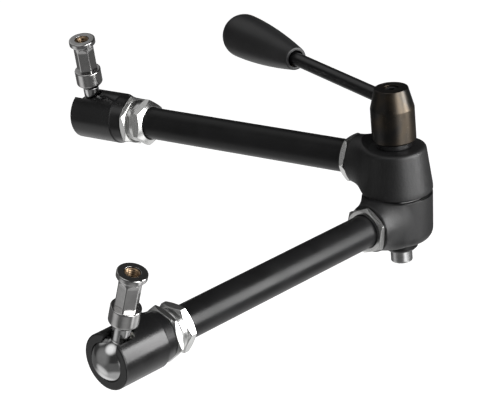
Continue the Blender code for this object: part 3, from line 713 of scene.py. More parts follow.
def build_spigot(side):
    """Turned head and collar on a hexagonal shank, bored at both ends."""
    s = sizes()
    low = NECK_END + GAP
    high = low + SPIGOT_LENGTH
    collar_top = low + COLLAR_HEIGHT
    head_bottom = high - HEAD_HEIGHT
    hole = BUSH_RADIUS + GAP
    hole_floor = high - BUSH_LENGTH - 2 * GAP
    stud_hole = STUD_THREAD_RADIUS + GAP
    stud_floor = NECK_END + STUD_THREAD_LENGTH + GAP
    angles = ring_angles(192)
    corners = [(0.0, hole_floor, 0.0), (hole, hole_floor, 0.0), (hole, high, 0.2 * MM),
               (s.spigot_radius, high, 0.7 * MM), (s.spigot_radius, head_bottom + HEAD_CHAMFER, 0.35 * MM),
               (s.spigot_radius - HEAD_CHAMFER, head_bottom, 0.15 * MM)]
    corners += shank_rows(angles, collar_top, head_bottom)
    corners += [(s.spigot_radius, collar_top, 0.6 * MM),
                (s.spigot_radius, low + COLLAR_CHAMFER, 0.6 * MM),
                (s.spigot_radius - COLLAR_CHAMFER, low, 0.2 * MM), (stud_hole, low, 0.1 * MM),
                (stud_hole, stud_floor, 0.0), (0.0, stud_floor, 0.0)]
    radius, height = soften(corners, len(angles))
    dress(turned(side + "_spigot_body", radius, height, angles, stud_place(side)), side + "_spigot")


def build_thread_bush(side):
    """Bush with a screw thread cut in its hole.

    The hole's radius rises and falls in a triangle wave of the height over the pitch less the share
    of a turn, so the ridge is one helix.
    """
    high = NECK_END + GAP + SPIGOT_LENGTH - GAP
    low = high - BUSH_LENGTH + GAP
    angles = ring_angles(96)
    heights = np.linspace(high - EDGE, low, int(BUSH_LENGTH / THREAD_PITCH * 12))
    phase = (heights[:, None] / THREAD_PITCH - angles[None, :] / math.tau) % 1.0
    ridge = np.abs(phase * 2 - 1)
    threads = BUSH_HOLE_RADIUS - THREAD_DEPTH * (ridge - 0.5)
    corners = [(BUSH_HOLE_RADIUS, low, 0.0), (BUSH_RADIUS, low, 0.2 * MM), (BUSH_RADIUS, high, 0.2 * MM),
               (BUSH_HOLE_RADIUS + EDGE, high, 0.1 * MM)]
    corners += [(threads[i], heights[i], 0.0) for i in range(len(heights))]
    corners.append((BUSH_HOLE_RADIUS, low, 0.0))
    radius, height = soften(corners, len(angles))
    piece = turned(side + "_bush", radius, height, angles, stud_place(side), sharp=60.0)
    dress(piece, side + "_thread_bush")


# Sockets, nuts and tubes

def socket_radius():
    """Outside radius of a ball socket."""
    s = sizes()
    return s.ball_radius + GAP + s.socket_wall


def socket_back():
    """Height of a socket's back face from its ball."""
    return SOCKET_FRONT - SOCKET_BARREL - SOCKET_BAND


def slot_cutter(spot, lip):
    """Slot with a half round end, flared where it meets the socket's outside.

    Its levels follow the socket's cylinder: the depth at each side step is the square root of the
    squared radius less the squared step. Above the level of the chamfer the outline grows outwards.
    """
    s = sizes()
    half = s.neck_radius + SLOT_PLAY
    top = lip + 3.0 * MM
    side_steps = np.linspace(top, -SLOT_REACH, 14)
    end_turns = np.linspace(0.0, math.pi, 33)[1:-1]
    across = np.concatenate([np.full(14, half), half * np.cos(end_turns), np.full(14, -half)])
    along = np.concatenate([side_steps, -SLOT_REACH - half * np.sin(end_turns), side_steps[::-1]])
    out_across = np.concatenate([np.ones(14), np.cos(end_turns), -np.ones(14)])
    out_along = np.concatenate([np.zeros(14), -np.sin(end_turns), np.zeros(14)])
    outside = socket_radius()
    levels = []
    for drop, grow in ((None, 0.0), (-SLOT_CHAMFER, 0.0), (0.0, SLOT_CHAMFER), (1.0 * MM, SLOT_CHAMFER + 1.0 * MM)):
        side = across + out_across * grow
        depth = np.sqrt(outside ** 2 - np.minimum(side ** 2, outside ** 2 * 0.9))
        level = np.full_like(side, outside * 0.35) if drop is None else depth + drop
        levels.append(np.stack([level, side, along + out_along * grow], -1))
    first = np.broadcast_to(levels[0].mean(axis=0), levels[0].shape)
    last = np.broadcast_to(levels[-1].mean(axis=0) + (1.0 * MM, 0.0, 0.0), levels[-1].shape)
    points = np.stack([first] + levels + [last])
    points = np.concatenate([points, points[:, :1]], axis=1)
    return grid_object("slot_cutter", points, np.arange(6) * MM, np.linspace(0, 1, points.shape[1]), spot)


def build_socket(side):
    """Turned socket with its slot cut through the side."""
    s = sizes()
    spot = moved(arm_place(side), ball_distance(side))
    outside = socket_radius()
    seat = s.ball_radius + GAP
    lip = SOCKET_LIP[side]
    band = SOCKET_FRONT - SOCKET_BARREL
    back = socket_back()
    back_radius = outside - BAND_STEP - BAND_TAPER
    lip_angle = math.degrees(math.asin(lip / seat))
    corners = [(outside, lip, 0.7 * MM), (outside, band, 0.15 * MM),
               (outside - BAND_STEP, band - BAND_STEP, 0.15 * MM), (back_radius, back, 0.6 * MM),
               (seat, back, 0.1 * MM)]
    corners += arc(0.0, 0.0, seat, 0.0, lip_angle - 1.0, 24)
    corners.append((seat * math.cos(math.radians(lip_angle)), lip, 0.25 * MM))
    piece = lathe(side + "_socket", corners, spot, closed=True)
    dress(cut(piece, slot_cutter(spot, lip)), side + "_ball_socket")


def build_seat(side):
    """Cup behind the ball."""
    s = sizes()
    spot = moved(arm_place(side), ball_distance(side))
    cup = s.ball_radius + GAP + PUSH_TRAVEL
    back = -cup - SEAT_DEPTH
    rim = -math.sqrt(cup ** 2 - SEAT_RIM_RADIUS ** 2)
    start = math.degrees(math.atan2(rim, SEAT_RIM_RADIUS))
    guide = s.ball_radius + GAP - 2 * GAP
    pocket = ROD_RADIUS + GAP
    corners = arc(0.0, 0.0, cup, -90.0, start, 24)
    corners[0] = (0.0, -cup, 0.0)
    corners += [(guide, rim - (guide - SEAT_RIM_RADIUS), 0.2 * MM), (guide, back, EDGE), (pocket, back, 0.1 * MM),
                (pocket, back + SEAT_POCKET, 0.0), (0.0, back + SEAT_POCKET, 0.0)]
    dress(lathe(side + "_seat", corners, spot), side + "_ball_seat")


def nut_corners(angles, flats, low, high, bevels):
    """Corners of a nut's outer side from its lower to its upper face.

    Each end is a cone that starts a little inside the flats, so a corner's edge begins its distance
    past that circle times the slope away from the face.
    """
    outline = hexagon(angles, flats, 0.35 * MM)
    rows = []
    for face, sign, bevel in ((low, 1.0, bevels[0]), (high, -1.0, bevels[1])):
        start = flats / 2 - bevel
        edge = [(start, face, 0.12 * MM), (outline, face + sign * (outline - start) * NUT_SLOPE, 0.12 * MM)]
        rows += edge if sign > 0 else edge[::-1]
    return rows


def build_nut(name, node, spot, flats, bore, low, high, turn, bevels=(0.2 * MM, 0.2 * MM)):
    """A nut with chamfered corners and a plain bore."""
    angles = hexagon_angles(12)
    corners = nut_corners(angles, flats, low, high, bevels)
    corners = [(bore, low, 0.25 * MM)] + corners + [(bore, high, 0.25 * MM)]
    radius, height = soften(corners, len(angles), closed=True, steps=3)
    dress(turned(name, radius, height, angles, spot, turn, sharp=24.0), node)


def tube_bore():
    """Radius of every hole that a tube passes."""
    return sizes().tube_radius + GAP


def lock_nut_top(side):
    """Height of a lock nut's face against its socket."""
    return ball_distance(side) + socket_back() - GAP


def bushing_top(side):
    """Height of a bushing's hexagon where its thread starts."""
    return lock_nut_top(side) - LOCK_NUT_HEIGHT - THREAD_SHOWN


def tube_end(side):
    """Height of a tube's end inside its bushing."""
    return bushing_top(side) + THREAD_LENGTH - TUBE_STOP - GAP


def build_bushing(side):
    """Hexagonal head and the thread that goes into the socket, bored for the tube and the rod."""
    angles = hexagon_angles(12)
    top = bushing_top(side)
    low = top - BUSHING_HEAD
    thread = tube_bore() + THREAD_WALL
    thread_end = top + THREAD_LENGTH
    corners = [(tube_bore(), low, 0.3 * MM)]
    corners += nut_corners(angles, BUSHING_FLATS, low, top - BUSHING_COLLAR, (BUSHING_BEVEL, 0.15 * MM))
    corners += [(BUSHING_COLLAR_RADIUS, top - BUSHING_COLLAR, 0.1 * MM), (BUSHING_COLLAR_RADIUS, top, 0.3 * MM)]
    heights = np.linspace(top + 0.4 * MM, lock_nut_top(side) + 2.0 * MM, 70)
    phase = (heights[:, None] / (1.0 * MM) - angles[None, :] / math.tau) % 1.0
    ridges = thread - 0.32 * MM * np.abs(phase * 2 - 1)
    corners.append((thread - 0.32 * MM, top, 0.1 * MM))
    corners += [(ridges[i], heights[i], 0.0) for i in range(len(heights))]
    corners += [(thread, thread_end, EDGE), (ROD_RADIUS + ROD_PLAY, thread_end, 0.0),
                (ROD_RADIUS + ROD_PLAY, tube_end(side) + GAP, 0.0), (tube_bore(), tube_end(side) + GAP, 0.0)]
    radius, height = soften(corners, len(angles), closed=True, steps=3)
    piece = turned(side + "_bushing", radius, height, angles, arm_place(side), BUSHING_TURN[side], sharp=24.0)
    dress(piece, side + "_socket_bushing")


def build_lock_nut(side):
    """Thin nut that locks the socket on its bushing."""
    top = lock_nut_top(side)
    build_nut(side + "_thin_nut", side + "_lock_nut", arm_place(side), LOCK_NUT_FLATS,
              tube_bore() + THREAD_WALL + GAP, top - LOCK_NUT_HEIGHT, top, LOCK_NUT_TURN[side])


def boss_end():
    """Distance of a boss's end face from the elbow's axis."""
    return sizes().casting_radius + BOSS_REACH


def build_elbow_nut(side):
    """Thin nut that locks the tube in its casting."""
    low = boss_end() + GAP
    build_nut(side + "_tube_nut", side + "_elbow_nut", arm_place(side), ELBOW_NUT_FLATS, tube_bore(),
              low, low + ELBOW_NUT_HEIGHT, ELBOW_NUT_TURN[side])


def build_tube(side):
    """Plain tube with eased ends."""
    outside = sizes().tube_radius
    inside = outside - TUBE_WALL
    low = boss_end() - TUBE_ENTRY + GAP
    high = tube_end(side)
    corners = [(inside, high, 0.3 * MM), (outside, high, 0.3 * MM), (outside, low, 0.3 * MM),
               (inside, low, 0.3 * MM)]
    dress(lathe(side + "_arm_tube", corners, arm_place(side), closed=True), side + "_tube")


def build_push_rod(side):
    """Round rod with a domed tip at the wedge."""
    cosine = math.cos(WEDGE_SLOPE)
    tip = WEDGE_RADIUS + GAP / cosine + ROD_RADIUS * (1 / cosine - 1)
    cup = sizes().ball_radius + GAP + PUSH_TRAVEL
    end = ball_distance(side) - cup - SEAT_DEPTH + SEAT_POCKET - GAP
    corners = [(0.0, end, 0.0), (ROD_RADIUS, end, EDGE)]
    corners += arc(0.0, tip + ROD_RADIUS, ROD_RADIUS, 0.0, -90.0, 20)
    corners[-1] = (0.0, tip, 0.0)
    dress(lathe(side + "_rod", corners, arm_place(side), columns=64), side + "_push_rod")


# Elbow

def polygon_distance(radius, height, corners):
    """Distance outside a convex profile: the greatest distance beyond any of its sides' lines."""
    spots = np.array([(r, z) for r, z, reach in corners])
    distance = np.full(np.shape(radius), -1.0)
    for a, b in zip(spots[:-1], spots[1:]):
        side = b - a
        length = np.linalg.norm(side)
        if length > 1e-7:
            distance = np.maximum(distance, ((radius - a[0]) * -side[1] + (height - a[1]) * side[0]) / length)
    return distance


def casting_grid(corners, boss_turn, boss_height, spot_face):
    """Surface of a turned body and a round boss that flow into each other.

    Each ray starts on the elbow's axis at the boss's height and passes a point of the body's
    profile. The surface lies where a smooth least of two distances, beyond the body and beyond the
    boss, first turns positive along the ray. The smooth least of a and b is the lesser, less a quarter
    of the squared overlap of their difference with the blend's width over that width. A spot face is
    the greater of that and the distance into the cut.
    """
    share = np.linspace(-1.0, 1.0, 289)
    angles = boss_turn + math.pi * np.sign(share) * np.abs(share) ** 1.25
    radius, height = soften(corners, len(angles), steps=8)
    mean = radius.mean(axis=1), height.mean(axis=1)
    steps = np.append(0.0, np.cumsum(np.hypot(np.diff(mean[0]), np.diff(mean[1]))))
    even = np.unique(np.concatenate([steps, np.linspace(0, steps[-1], 110)]))
    even = even[np.append(True, np.diff(even) > 1e-6)]
    radius = np.interp(even, steps, mean[0])[:, None] + np.zeros(len(angles))
    height = np.interp(even, steps, mean[1])[:, None] + np.zeros(len(angles))
    profile = [(r, z, 0.0) for r, z in zip(*mean)]
    swing = np.broadcast_to(angles, radius.shape) - boss_turn
    end = boss_end()

    def beyond(scale):
        out = radius * scale
        up = boss_height + (height - boss_height) * scale
        body = polygon_distance(out, up, profile)
        along = out * np.cos(swing)
        across = np.hypot(out * np.sin(swing), up - boss_height)
        side = across - BOSS_RADIUS
        corner = np.maximum(side + 0.8 * MM, 0.0) ** 2 + np.maximum(along - end + 0.8 * MM, 0.0) ** 2
        boss = np.maximum(side, along - end)
        rounded = np.sqrt(corner) - 0.8 * MM
        boss = np.where((side > -0.8 * MM) & (along - end > -0.8 * MM), rounded, boss)
        boss = np.maximum(boss, -along)
        near = np.clip(along / BOSS_NEAR, 1e-6, 1.0)
        width = BOSS_BLEND * near * near * (3 - 2 * near)
        overlap = np.maximum(width - np.abs(body - boss), 0.0)
        joined = np.minimum(body, boss) - overlap ** 2 / width / 4
        if spot_face:
            joined = np.maximum(joined, np.minimum(spot_face - out, up - corners[0][1]))
        return joined

    tries = np.linspace(0.5, 3.2, 136)
    low = np.full(radius.shape, tries[0])
    found = np.zeros(radius.shape, bool)
    for scale in tries[1:]:
        inside = beyond(scale) < 0
        low = np.where(~found & inside, scale, low)
        found |= ~inside
    high = low + (tries[1] - tries[0])
    for _ in range(22):
        middle = (low + high) / 2
        inside = beyond(middle) < 0
        low = np.where(inside, middle, low)
        high = np.where(inside, high, middle)
    return angles, radius * low, boss_height + (height - boss_height) * low


def build_casting(side, corners, spot_face=None):
    """A casting with its boss, bored for the shaft and the tube."""
    axes, origin = arm_place(side)
    elbow = elbow_place()
    boss_turn = math.atan2(axes[2][1], axes[2][0])
    boss_height = origin[2] - elbow[1][2]
    angles, radius, height = casting_grid(corners, boss_turn, boss_height, spot_face)
    radius = np.concatenate([radius, radius[:1]])
    height = np.concatenate([height, height[:1]])
    piece = turned(side + "_elbow_casting", radius, height, angles, elbow, sharp=38.0)
    seat = boss_end() - TUBE_ENTRY
    far = boss_end() + 5.0 * MM
    cutter = lathe("tube_cutter", [(0.0, far, 0.0), (tube_bore(), far, 0.0), (tube_bore(), seat, 0.0),
                                   (0.0, seat, 0.0)], arm_place(side), columns=96)
    dress(cut(piece, cutter, 38.0), side + "_casting")


def shaft_bore():
    """Radius of the castings' hole for the shaft."""
    return SHAFT_RADIUS + SHAFT_PLAY


def upper_casting_corners():
    """Profile of the conical upper casting, from its bore over the top and down the side."""
    wide = sizes().casting_radius
    base = WASHER_THICKNESS / 2 + GAP
    rim = base + PARTING_CHAMFER + PARTING_RIM
    return [(shaft_bore(), UPPER_HEIGHT, 0.0), (UPPER_TOP_RADIUS, UPPER_HEIGHT, CASTING_ROUND),
            (wide, rim, 0.8 * MM), (wide, base + PARTING_CHAMFER, 0.3 * MM),
            (wide - PARTING_CHAMFER, base, 0.2 * MM), (shaft_bore(), base, 0.0)]


def lower_casting_corners():
    """Profile of the lower casting, from its bore over the parting face and down the side."""
    wide = sizes().casting_radius
    top = -WASHER_THICKNESS / 2 - GAP
    middle = wide - LOWER_DRAFT - LOWER_ROUND
    corners = [(shaft_bore(), top, 0.0), (wide, top, 0.5 * MM), (wide - 0.2 * MM, top - 8.0 * MM, 0.0)]
    corners += arc(middle, -LOWER_HEIGHT + LOWER_ROUND, LOWER_ROUND, 0.0, -90.0, 18)
    return corners + [(shaft_bore(), -LOWER_HEIGHT, 0.0)]


def flat_ring(name, node, inside, outside, low, high, look):
    """A washer with eased edges and the given look."""
    ease = min(0.2 * MM, (high - low) / 4)
    corners = [(inside, high, ease), (outside, high, ease), (outside, low, ease), (inside, low, ease)]
    settle(lathe(name, corners, elbow_place(), closed=True), node, finish_for(look))


def build_shaft():
    """Shaft with its two wedges, its thread in the hub and its pin under the elbow."""
    elbow = elbow_place()
    hub_start = UPPER_HEIGHT + GAP + THRUST_HEIGHT + GAP
    shoulder = hub_start - SHAFT_TRAVEL - 2 * GAP
    roof = hub_start + HUB_HEIGHT - (hub_start + HUB_HEIGHT - lever_height()) - sizes().lever_rod_radius - GAP - HUB_ROOF
    top = roof - SHAFT_TRAVEL - 2 * GAP
    corners = [(0.0, top, 0.0), (SHAFT_THREAD_RADIUS, top, EDGE), (SHAFT_THREAD_RADIUS, shoulder, 0.1 * MM),
               (SHAFT_RADIUS, shoulder - (SHAFT_RADIUS - SHAFT_THREAD_RADIUS), 0.2 * MM)]
    rise = (WEDGE_RADIUS - WEDGE_THROAT) / math.tan(WEDGE_SLOPE)
    drop = (SHAFT_RADIUS - WEDGE_RADIUS) / math.tan(WEDGE_SLOPE)
    for side in ("upper", "lower"):
        height = arm_place(side)[1][2] - elbow[1][2]
        throat = height + rise + SHAFT_TRAVEL
        corners += [(SHAFT_RADIUS, throat + SHAFT_RADIUS - WEDGE_THROAT, 0.2 * MM), (WEDGE_THROAT, throat, 0.2 * MM),
                    (WEDGE_THROAT, height + rise, 0.2 * MM), (SHAFT_RADIUS, height - drop, 0.2 * MM)]
    bush_top = LOWER_HEIGHT + GAP
    step = bush_top - BASE_BUSH_SLEEVE - PIN_ROOM
    end = bush_top + BASE_BUSH_HEIGHT + PIN_REACH
    corners += [(SHAFT_RADIUS, -step, 0.1 * MM), (PIN_RADIUS, -step - (SHAFT_RADIUS - PIN_RADIUS), 0.1 * MM),
                (PIN_RADIUS, -end, 0.9 * MM), (0.0, -end, 0.0)]
    dress(lathe("shaft_and_pin", corners, elbow), "elbow_shaft")


def build_base_bush():
    """Bevelled bush round the pin."""
    top = -LOWER_HEIGHT - GAP
    base = top - BASE_BUSH_HEIGHT
    sleeve = shaft_bore() - GAP
    hole = PIN_RADIUS + GAP
    corners = [(sleeve, top + BASE_BUSH_SLEEVE, 0.2 * MM), (sleeve, top, 0.1 * MM), (BASE_BUSH_RADIUS, top, 0.3 * MM),
               (BASE_BUSH_RADIUS, base + BASE_BUSH_CHAMFER, 0.3 * MM),
               (BASE_BUSH_RADIUS - BASE_BUSH_CHAMFER, base, 0.3 * MM), (hole, base, 0.2 * MM),
               (hole, top + BASE_BUSH_SLEEVE, 0.2 * MM)]
    dress(lathe("bush_under_elbow", corners, elbow_place(), closed=True), "base_bush")


# Lever

def lever_height():
    """Height of the lever's rod above the parting plane."""
    return float(lever_place()[1][2] - elbow_place()[1][2])


def build_hub():
    """Hub with a conical top, bored for the shaft, the rod and the set screw."""
    s = sizes()
    start = UPPER_HEIGHT + GAP + THRUST_HEIGHT + GAP
    top = start + HUB_HEIGHT
    rod_hole = s.lever_rod_radius + GAP
    bore = SHAFT_THREAD_RADIUS + 2 * GAP
    roof = lever_height() - rod_hole - HUB_ROOF
    screw = SET_SCREW_RADIUS + GAP
    corners = [(0.0, lever_height(), 0.0), (screw, lever_height(), 0.0), (screw, top, 0.25 * MM),
               (HUB_TOP_RADIUS, top, 0.45 * MM), (s.hub_radius, top - HUB_CONE, 0.35 * MM),
               (s.hub_radius, start + HUB_EDGE, 0.3 * MM), (s.hub_radius - HUB_EDGE, start, 0.2 * MM),
               (bore, start, 0.2 * MM), (bore, roof, 0.0), (0.0, roof, 0.0)]
    piece = lathe("hub_body", corners, elbow_place())
    mouth = s.hub_radius - 0.9 * MM
    cutter = lathe("rod_cutter", [(0.0, -LEVER_ROD_PAST_AXIS - GAP, 0.0), (rod_hole, -LEVER_ROD_PAST_AXIS - GAP, 0.0),
                                  (rod_hole, mouth, 0.0), (rod_hole + 2.0 * MM, mouth + 4.0 * MM, 0.0),
                                  (0.0, mouth + 4.0 * MM, 0.0)], lever_place(), columns=96)
    dress(cut(piece, cutter), "lever_hub")


def build_set_screw():
    """Set screw with a hexagon socket."""
    high = UPPER_HEIGHT + 2 * GAP + THRUST_HEIGHT + HUB_HEIGHT - SET_SCREW_SINK
    low = lever_height() + sizes().lever_rod_radius + GAP
    angles = hexagon_angles(8)
    socket = hexagon(angles, SET_SCREW_FLATS, 0.1 * MM)
    floor = high - SET_SCREW_SOCKET
    corners = [(0.0, low, 0.0), (SET_SCREW_RADIUS, low, 0.3 * MM), (SET_SCREW_RADIUS, high, 0.4 * MM),
               (socket + 0.25 * MM, high, 0.08 * MM), (socket, high - 0.25 * MM, 0.08 * MM),
               (socket, floor, 0.05 * MM), (0.0, floor - 0.5 * MM, 0.0)]
    radius, height = soften(corners, len(angles))
    dress(turned("socket_screw", radius, height, angles, elbow_place()), "lever_set_screw")


def build_lever_rod():
    """Straight rod from the hub into the knob."""
    radius = sizes().lever_rod_radius
    high = KNOB_START + LEVER_ROD_IN_KNOB
    corners = [(0.0, high, 0.0), (radius, high, EDGE), (radius, -LEVER_ROD_PAST_AXIS, EDGE),
               (0.0, -LEVER_ROD_PAST_AXIS, 0.0)]
    dress(lathe("handle_rod", corners, lever_place()), "lever_rod")


def build_knob():
    """Egg-shaped knob: a half ball, a taper that swells as a power of its run, and a rounded mouth."""
    s = sizes()
    widest = KNOB_START + KNOB_TAPER
    corners = [(0.0, widest + KNOB_DOME, 0.0)]
    for turn in np.linspace(math.pi / 2, 0.0, 30)[1:-1]:
        corners.append((s.knob_radius * math.cos(turn), widest + KNOB_DOME * math.sin(turn), 0.0))
    for run in np.linspace(0.0, 1.0 - KNOB_ROUND / KNOB_TAPER, 44):
        fall = run ** KNOB_SWELL
        corners.append((s.knob_radius - (s.knob_radius - KNOB_NECK_RADIUS) * fall, widest - KNOB_TAPER * run, 0.0))
    mouth = s.lever_rod_radius + KNOB_MOUTH_PLAY
    chamber = s.lever_rod_radius + GAP + INSERT_WALL + GAP
    bottom = KNOB_START + LEVER_ROD_IN_KNOB + GAP
    corners += [(KNOB_NECK_RADIUS - 0.05 * MM, KNOB_START, 1.0 * MM), (mouth + 0.35 * MM, KNOB_START, 0.15 * MM),
                (mouth, KNOB_START + 0.5 * MM, 0.15 * MM), (mouth, KNOB_START + KNOB_MOUTH, 0.0),
                (chamber, KNOB_START + KNOB_MOUTH, 0.0), (chamber, bottom, 0.0), (0.0, bottom, 0.0)]
    dress(lathe("handle_knob", corners, lever_place()), "lever_knob")


def build_insert():
    """Brass insert inside the knob."""
    inside = sizes().lever_rod_radius + GAP
    low = KNOB_START + KNOB_MOUTH + GAP
    high = KNOB_START + LEVER_ROD_IN_KNOB
    corners = [(inside, high, 0.2 * MM), (inside + INSERT_WALL, high, 0.2 * MM),
               (inside + INSERT_WALL, low, 0.2 * MM), (inside, low, 0.2 * MM)]
    dress(lathe("insert_in_knob", corners, lever_place(), closed=True, columns=64), "knob_insert")


# Studio

def direction(azimuth, elevation):
    """Unit vector at an azimuth from +X and an elevation, in degrees."""
    a, e = math.radians(azimuth), math.radians(elevation)
    return Vector((math.cos(a) * math.cos(e), math.sin(a) * math.cos(e), math.sin(e)))


def greatest(tree, first, second):
    """The greater of two values."""
    node = add_node(tree, "ShaderNodeMath", operation="MAXIMUM")
    tree.links.new(first, node.inputs[0])
    tree.links.new(second, node.inputs[1])
    return node.outputs["Value"]


def sky_patch(tree, way, azimuth, elevation, inner, outer, strength):
    """A soft round patch of the sky, full inside one angle and gone outside another, in degrees."""
    dot = add_node(tree, "ShaderNodeVectorMath", operation="DOT_PRODUCT")
    dot.inputs[1].default_value = direction(azimuth, elevation)
    tree.links.new(way, dot.inputs[0])
    node = add_node(tree, "ShaderNodeMapRange", interpolation_type="SMOOTHSTEP")
    node.inputs["From Min"].default_value = math.cos(math.radians(outer))
    node.inputs["From Max"].default_value = math.cos(math.radians(inner))
    node.inputs["To Min"].default_value = 0.0
    node.inputs["To Max"].default_value = strength
    tree.links.new(dot.outputs["Value"], node.inputs["Value"])
    return node.outputs["Result"]


def build_world():
    """White for the camera. For light and reflections, a dim room with a few pale walls."""
    world = bpy.data.worlds.new("studio")
    bpy.context.scene.world = world
    world.use_nodes = True
    tree = world.node_tree
    tree.nodes.clear()
    way = add_node(tree, "ShaderNodeTexCoord").outputs["Generated"]
    level = add_node(tree, "ShaderNodeValue")
    level.outputs[0].default_value = ROOM_LEVEL
    total = level.outputs[0]
    for patch in ROOM_PATCHES:
        total = greatest(tree, total, sky_patch(tree, way, *patch))
    toward = add_node(tree, "ShaderNodeVectorMath", operation="DOT_PRODUCT")
    toward.inputs[1].default_value = direction(*TABLE_WAY)
    tree.links.new(way, toward.inputs[0])
    height = add_node(tree, "ShaderNodeSeparateXYZ")
    tree.links.new(way, height.inputs["Vector"])
    table = add_node(tree, "ShaderNodeMath", operation="MULTIPLY")
    tree.links.new(remap(tree, toward.outputs["Value"], 0.0, TABLE_LEVEL, *TABLE_START), table.inputs[0])
    tree.links.new(remap(tree, height.outputs["Z"], 0.0, 1.0, *TABLE_DEPTH), table.inputs[1])
    dim = remap(tree, height.outputs["Z"], 0.0, TABLE_DIM, *TABLE_EDGE)
    total = greatest(tree, greatest(tree, total, table.outputs["Value"]), dim)
    path = add_node(tree, "ShaderNodeLightPath")
    bright = add_node(tree, "ShaderNodeMath", operation="MAXIMUM")
    background = add_node(tree, "ShaderNodeBackground", Color=(1.0, 1.0, 1.0, 1.0))
    output = add_node(tree, "ShaderNodeOutputWorld")
    tree.links.new(path.outputs["Is Camera Ray"], bright.inputs[0])
    tree.links.new(path.outputs["Is Transmission Ray"], bright.inputs[1])
    mix = add_node(tree, "ShaderNodeMix", data_type="FLOAT")
    mix.inputs[3].default_value = 1.0
    tree.links.new(bright.outputs["Value"], mix.inputs[0])
    tree.links.new(total, mix.inputs[2])
    tree.links.new(mix.outputs[0], background.inputs["Strength"])
    tree.links.new(background.outputs["Background"], output.inputs["Surface"])


def build_floor():
    """Wide white floor, low enough that the arm stays above it when it swings down on its lower ball.

    It keeps the arm's shadow and is white in the view. Metal shows the world's pale table instead.
    """
    low = CAD_BOX[0][2] - FLOOR_CLEARANCE
    half = FLOOR_SIZE / 2
    mesh = bpy.data.meshes.new("floor")
    mesh.from_pydata([(-half, -half, low), (half, -half, low), (half, half, low), (-half, half, low)], [],
                     [(0, 1, 2, 3)])
    floor = bpy.data.objects.new("floor", mesh)
    bpy.context.scene.collection.objects.link(floor)
    material = bpy.data.materials.new("white_floor")
    material.use_nodes = True
    tree = material.node_tree
    tree.nodes.clear()
    path = add_node(tree, "ShaderNodeLightPath")
    seen = greatest(tree, path.outputs["Is Camera Ray"], path.outputs["Is Transmission Ray"])
    share = add_node(tree, "ShaderNodeMath", operation="MULTIPLY")
    share.inputs[1].default_value = FLOOR_GLOW
    tree.links.new(seen, share.inputs[0])
    diffuse = add_node(tree, "ShaderNodeBsdfDiffuse", Color=(0.8, 0.8, 0.8, 1.0))
    glow = add_node(tree, "ShaderNodeEmission", Color=(1.0, 1.0, 1.0, 1.0))
    tree.links.new(share.outputs["Value"], glow.inputs["Strength"])
    both = add_node(tree, "ShaderNodeAddShader")
    tree.links.new(diffuse.outputs["BSDF"], both.inputs[0])
    tree.links.new(glow.outputs["Emission"], both.inputs[1])
    clear = add_node(tree, "ShaderNodeBsdfTransparent")
    mix = add_node(tree, "ShaderNodeMixShader")
    output = add_node(tree, "ShaderNodeOutputMaterial")
    tree.links.new(path.outputs["Is Glossy Ray"], mix.inputs["Fac"])
    tree.links.new(both.outputs["Shader"], mix.inputs[1])
    tree.links.new(clear.outputs["BSDF"], mix.inputs[2])
    tree.links.new(mix.outputs["Shader"], output.inputs["Surface"])
    mesh.materials.append(material)


def softbox(name, azimuth, elevation, distance, width, height, radiance):
    """A soft rectangular light that faces the arm's middle, with its power from its brightness."""
    middle = (Vector(CAD_BOX[0]) + Vector(CAD_BOX[1])) / 2
    way = direction(azimuth, elevation)
    lamp = bpy.data.lights.new(name, "AREA")
    lamp.shape = "RECTANGLE"
    lamp.size = width
    lamp.size_y = height
    lamp.energy = radiance * math.pi * width * height
    obj = bpy.data.objects.new(name, lamp)
    obj.matrix_world = (Matrix.Translation(middle + way * distance)
                        @ (-way).to_track_quat("-Z", "Y").to_matrix().to_4x4())
    bpy.context.scene.collection.objects.link(obj)


def build_camera():
    """Camera at the photograph's place, aim and roll."""
    elbow = Vector(JOINTS["elbow_turn"]["pos_m"])
    camera = bpy.data.cameras.new("camera")
    camera.sensor_width = SENSOR_WIDTH
    camera.lens = FOCAL_PIXELS * SENSOR_WIDTH / PHOTO_WIDTH
    camera.clip_start = 0.05
    obj = bpy.data.objects.new("camera", camera)
    way = CAMERA_AIM - CAMERA_PLACE
    obj.matrix_world = (Matrix.Translation(elbow + CAMERA_PLACE) @ way.to_track_quat("-Z", "Y").to_matrix().to_4x4()
                        @ Matrix.Rotation(CAMERA_ROLL, 4, "Z"))
    bpy.context.scene.collection.objects.link(obj)
    bpy.context.scene.camera = obj


# Settings, operators and panel

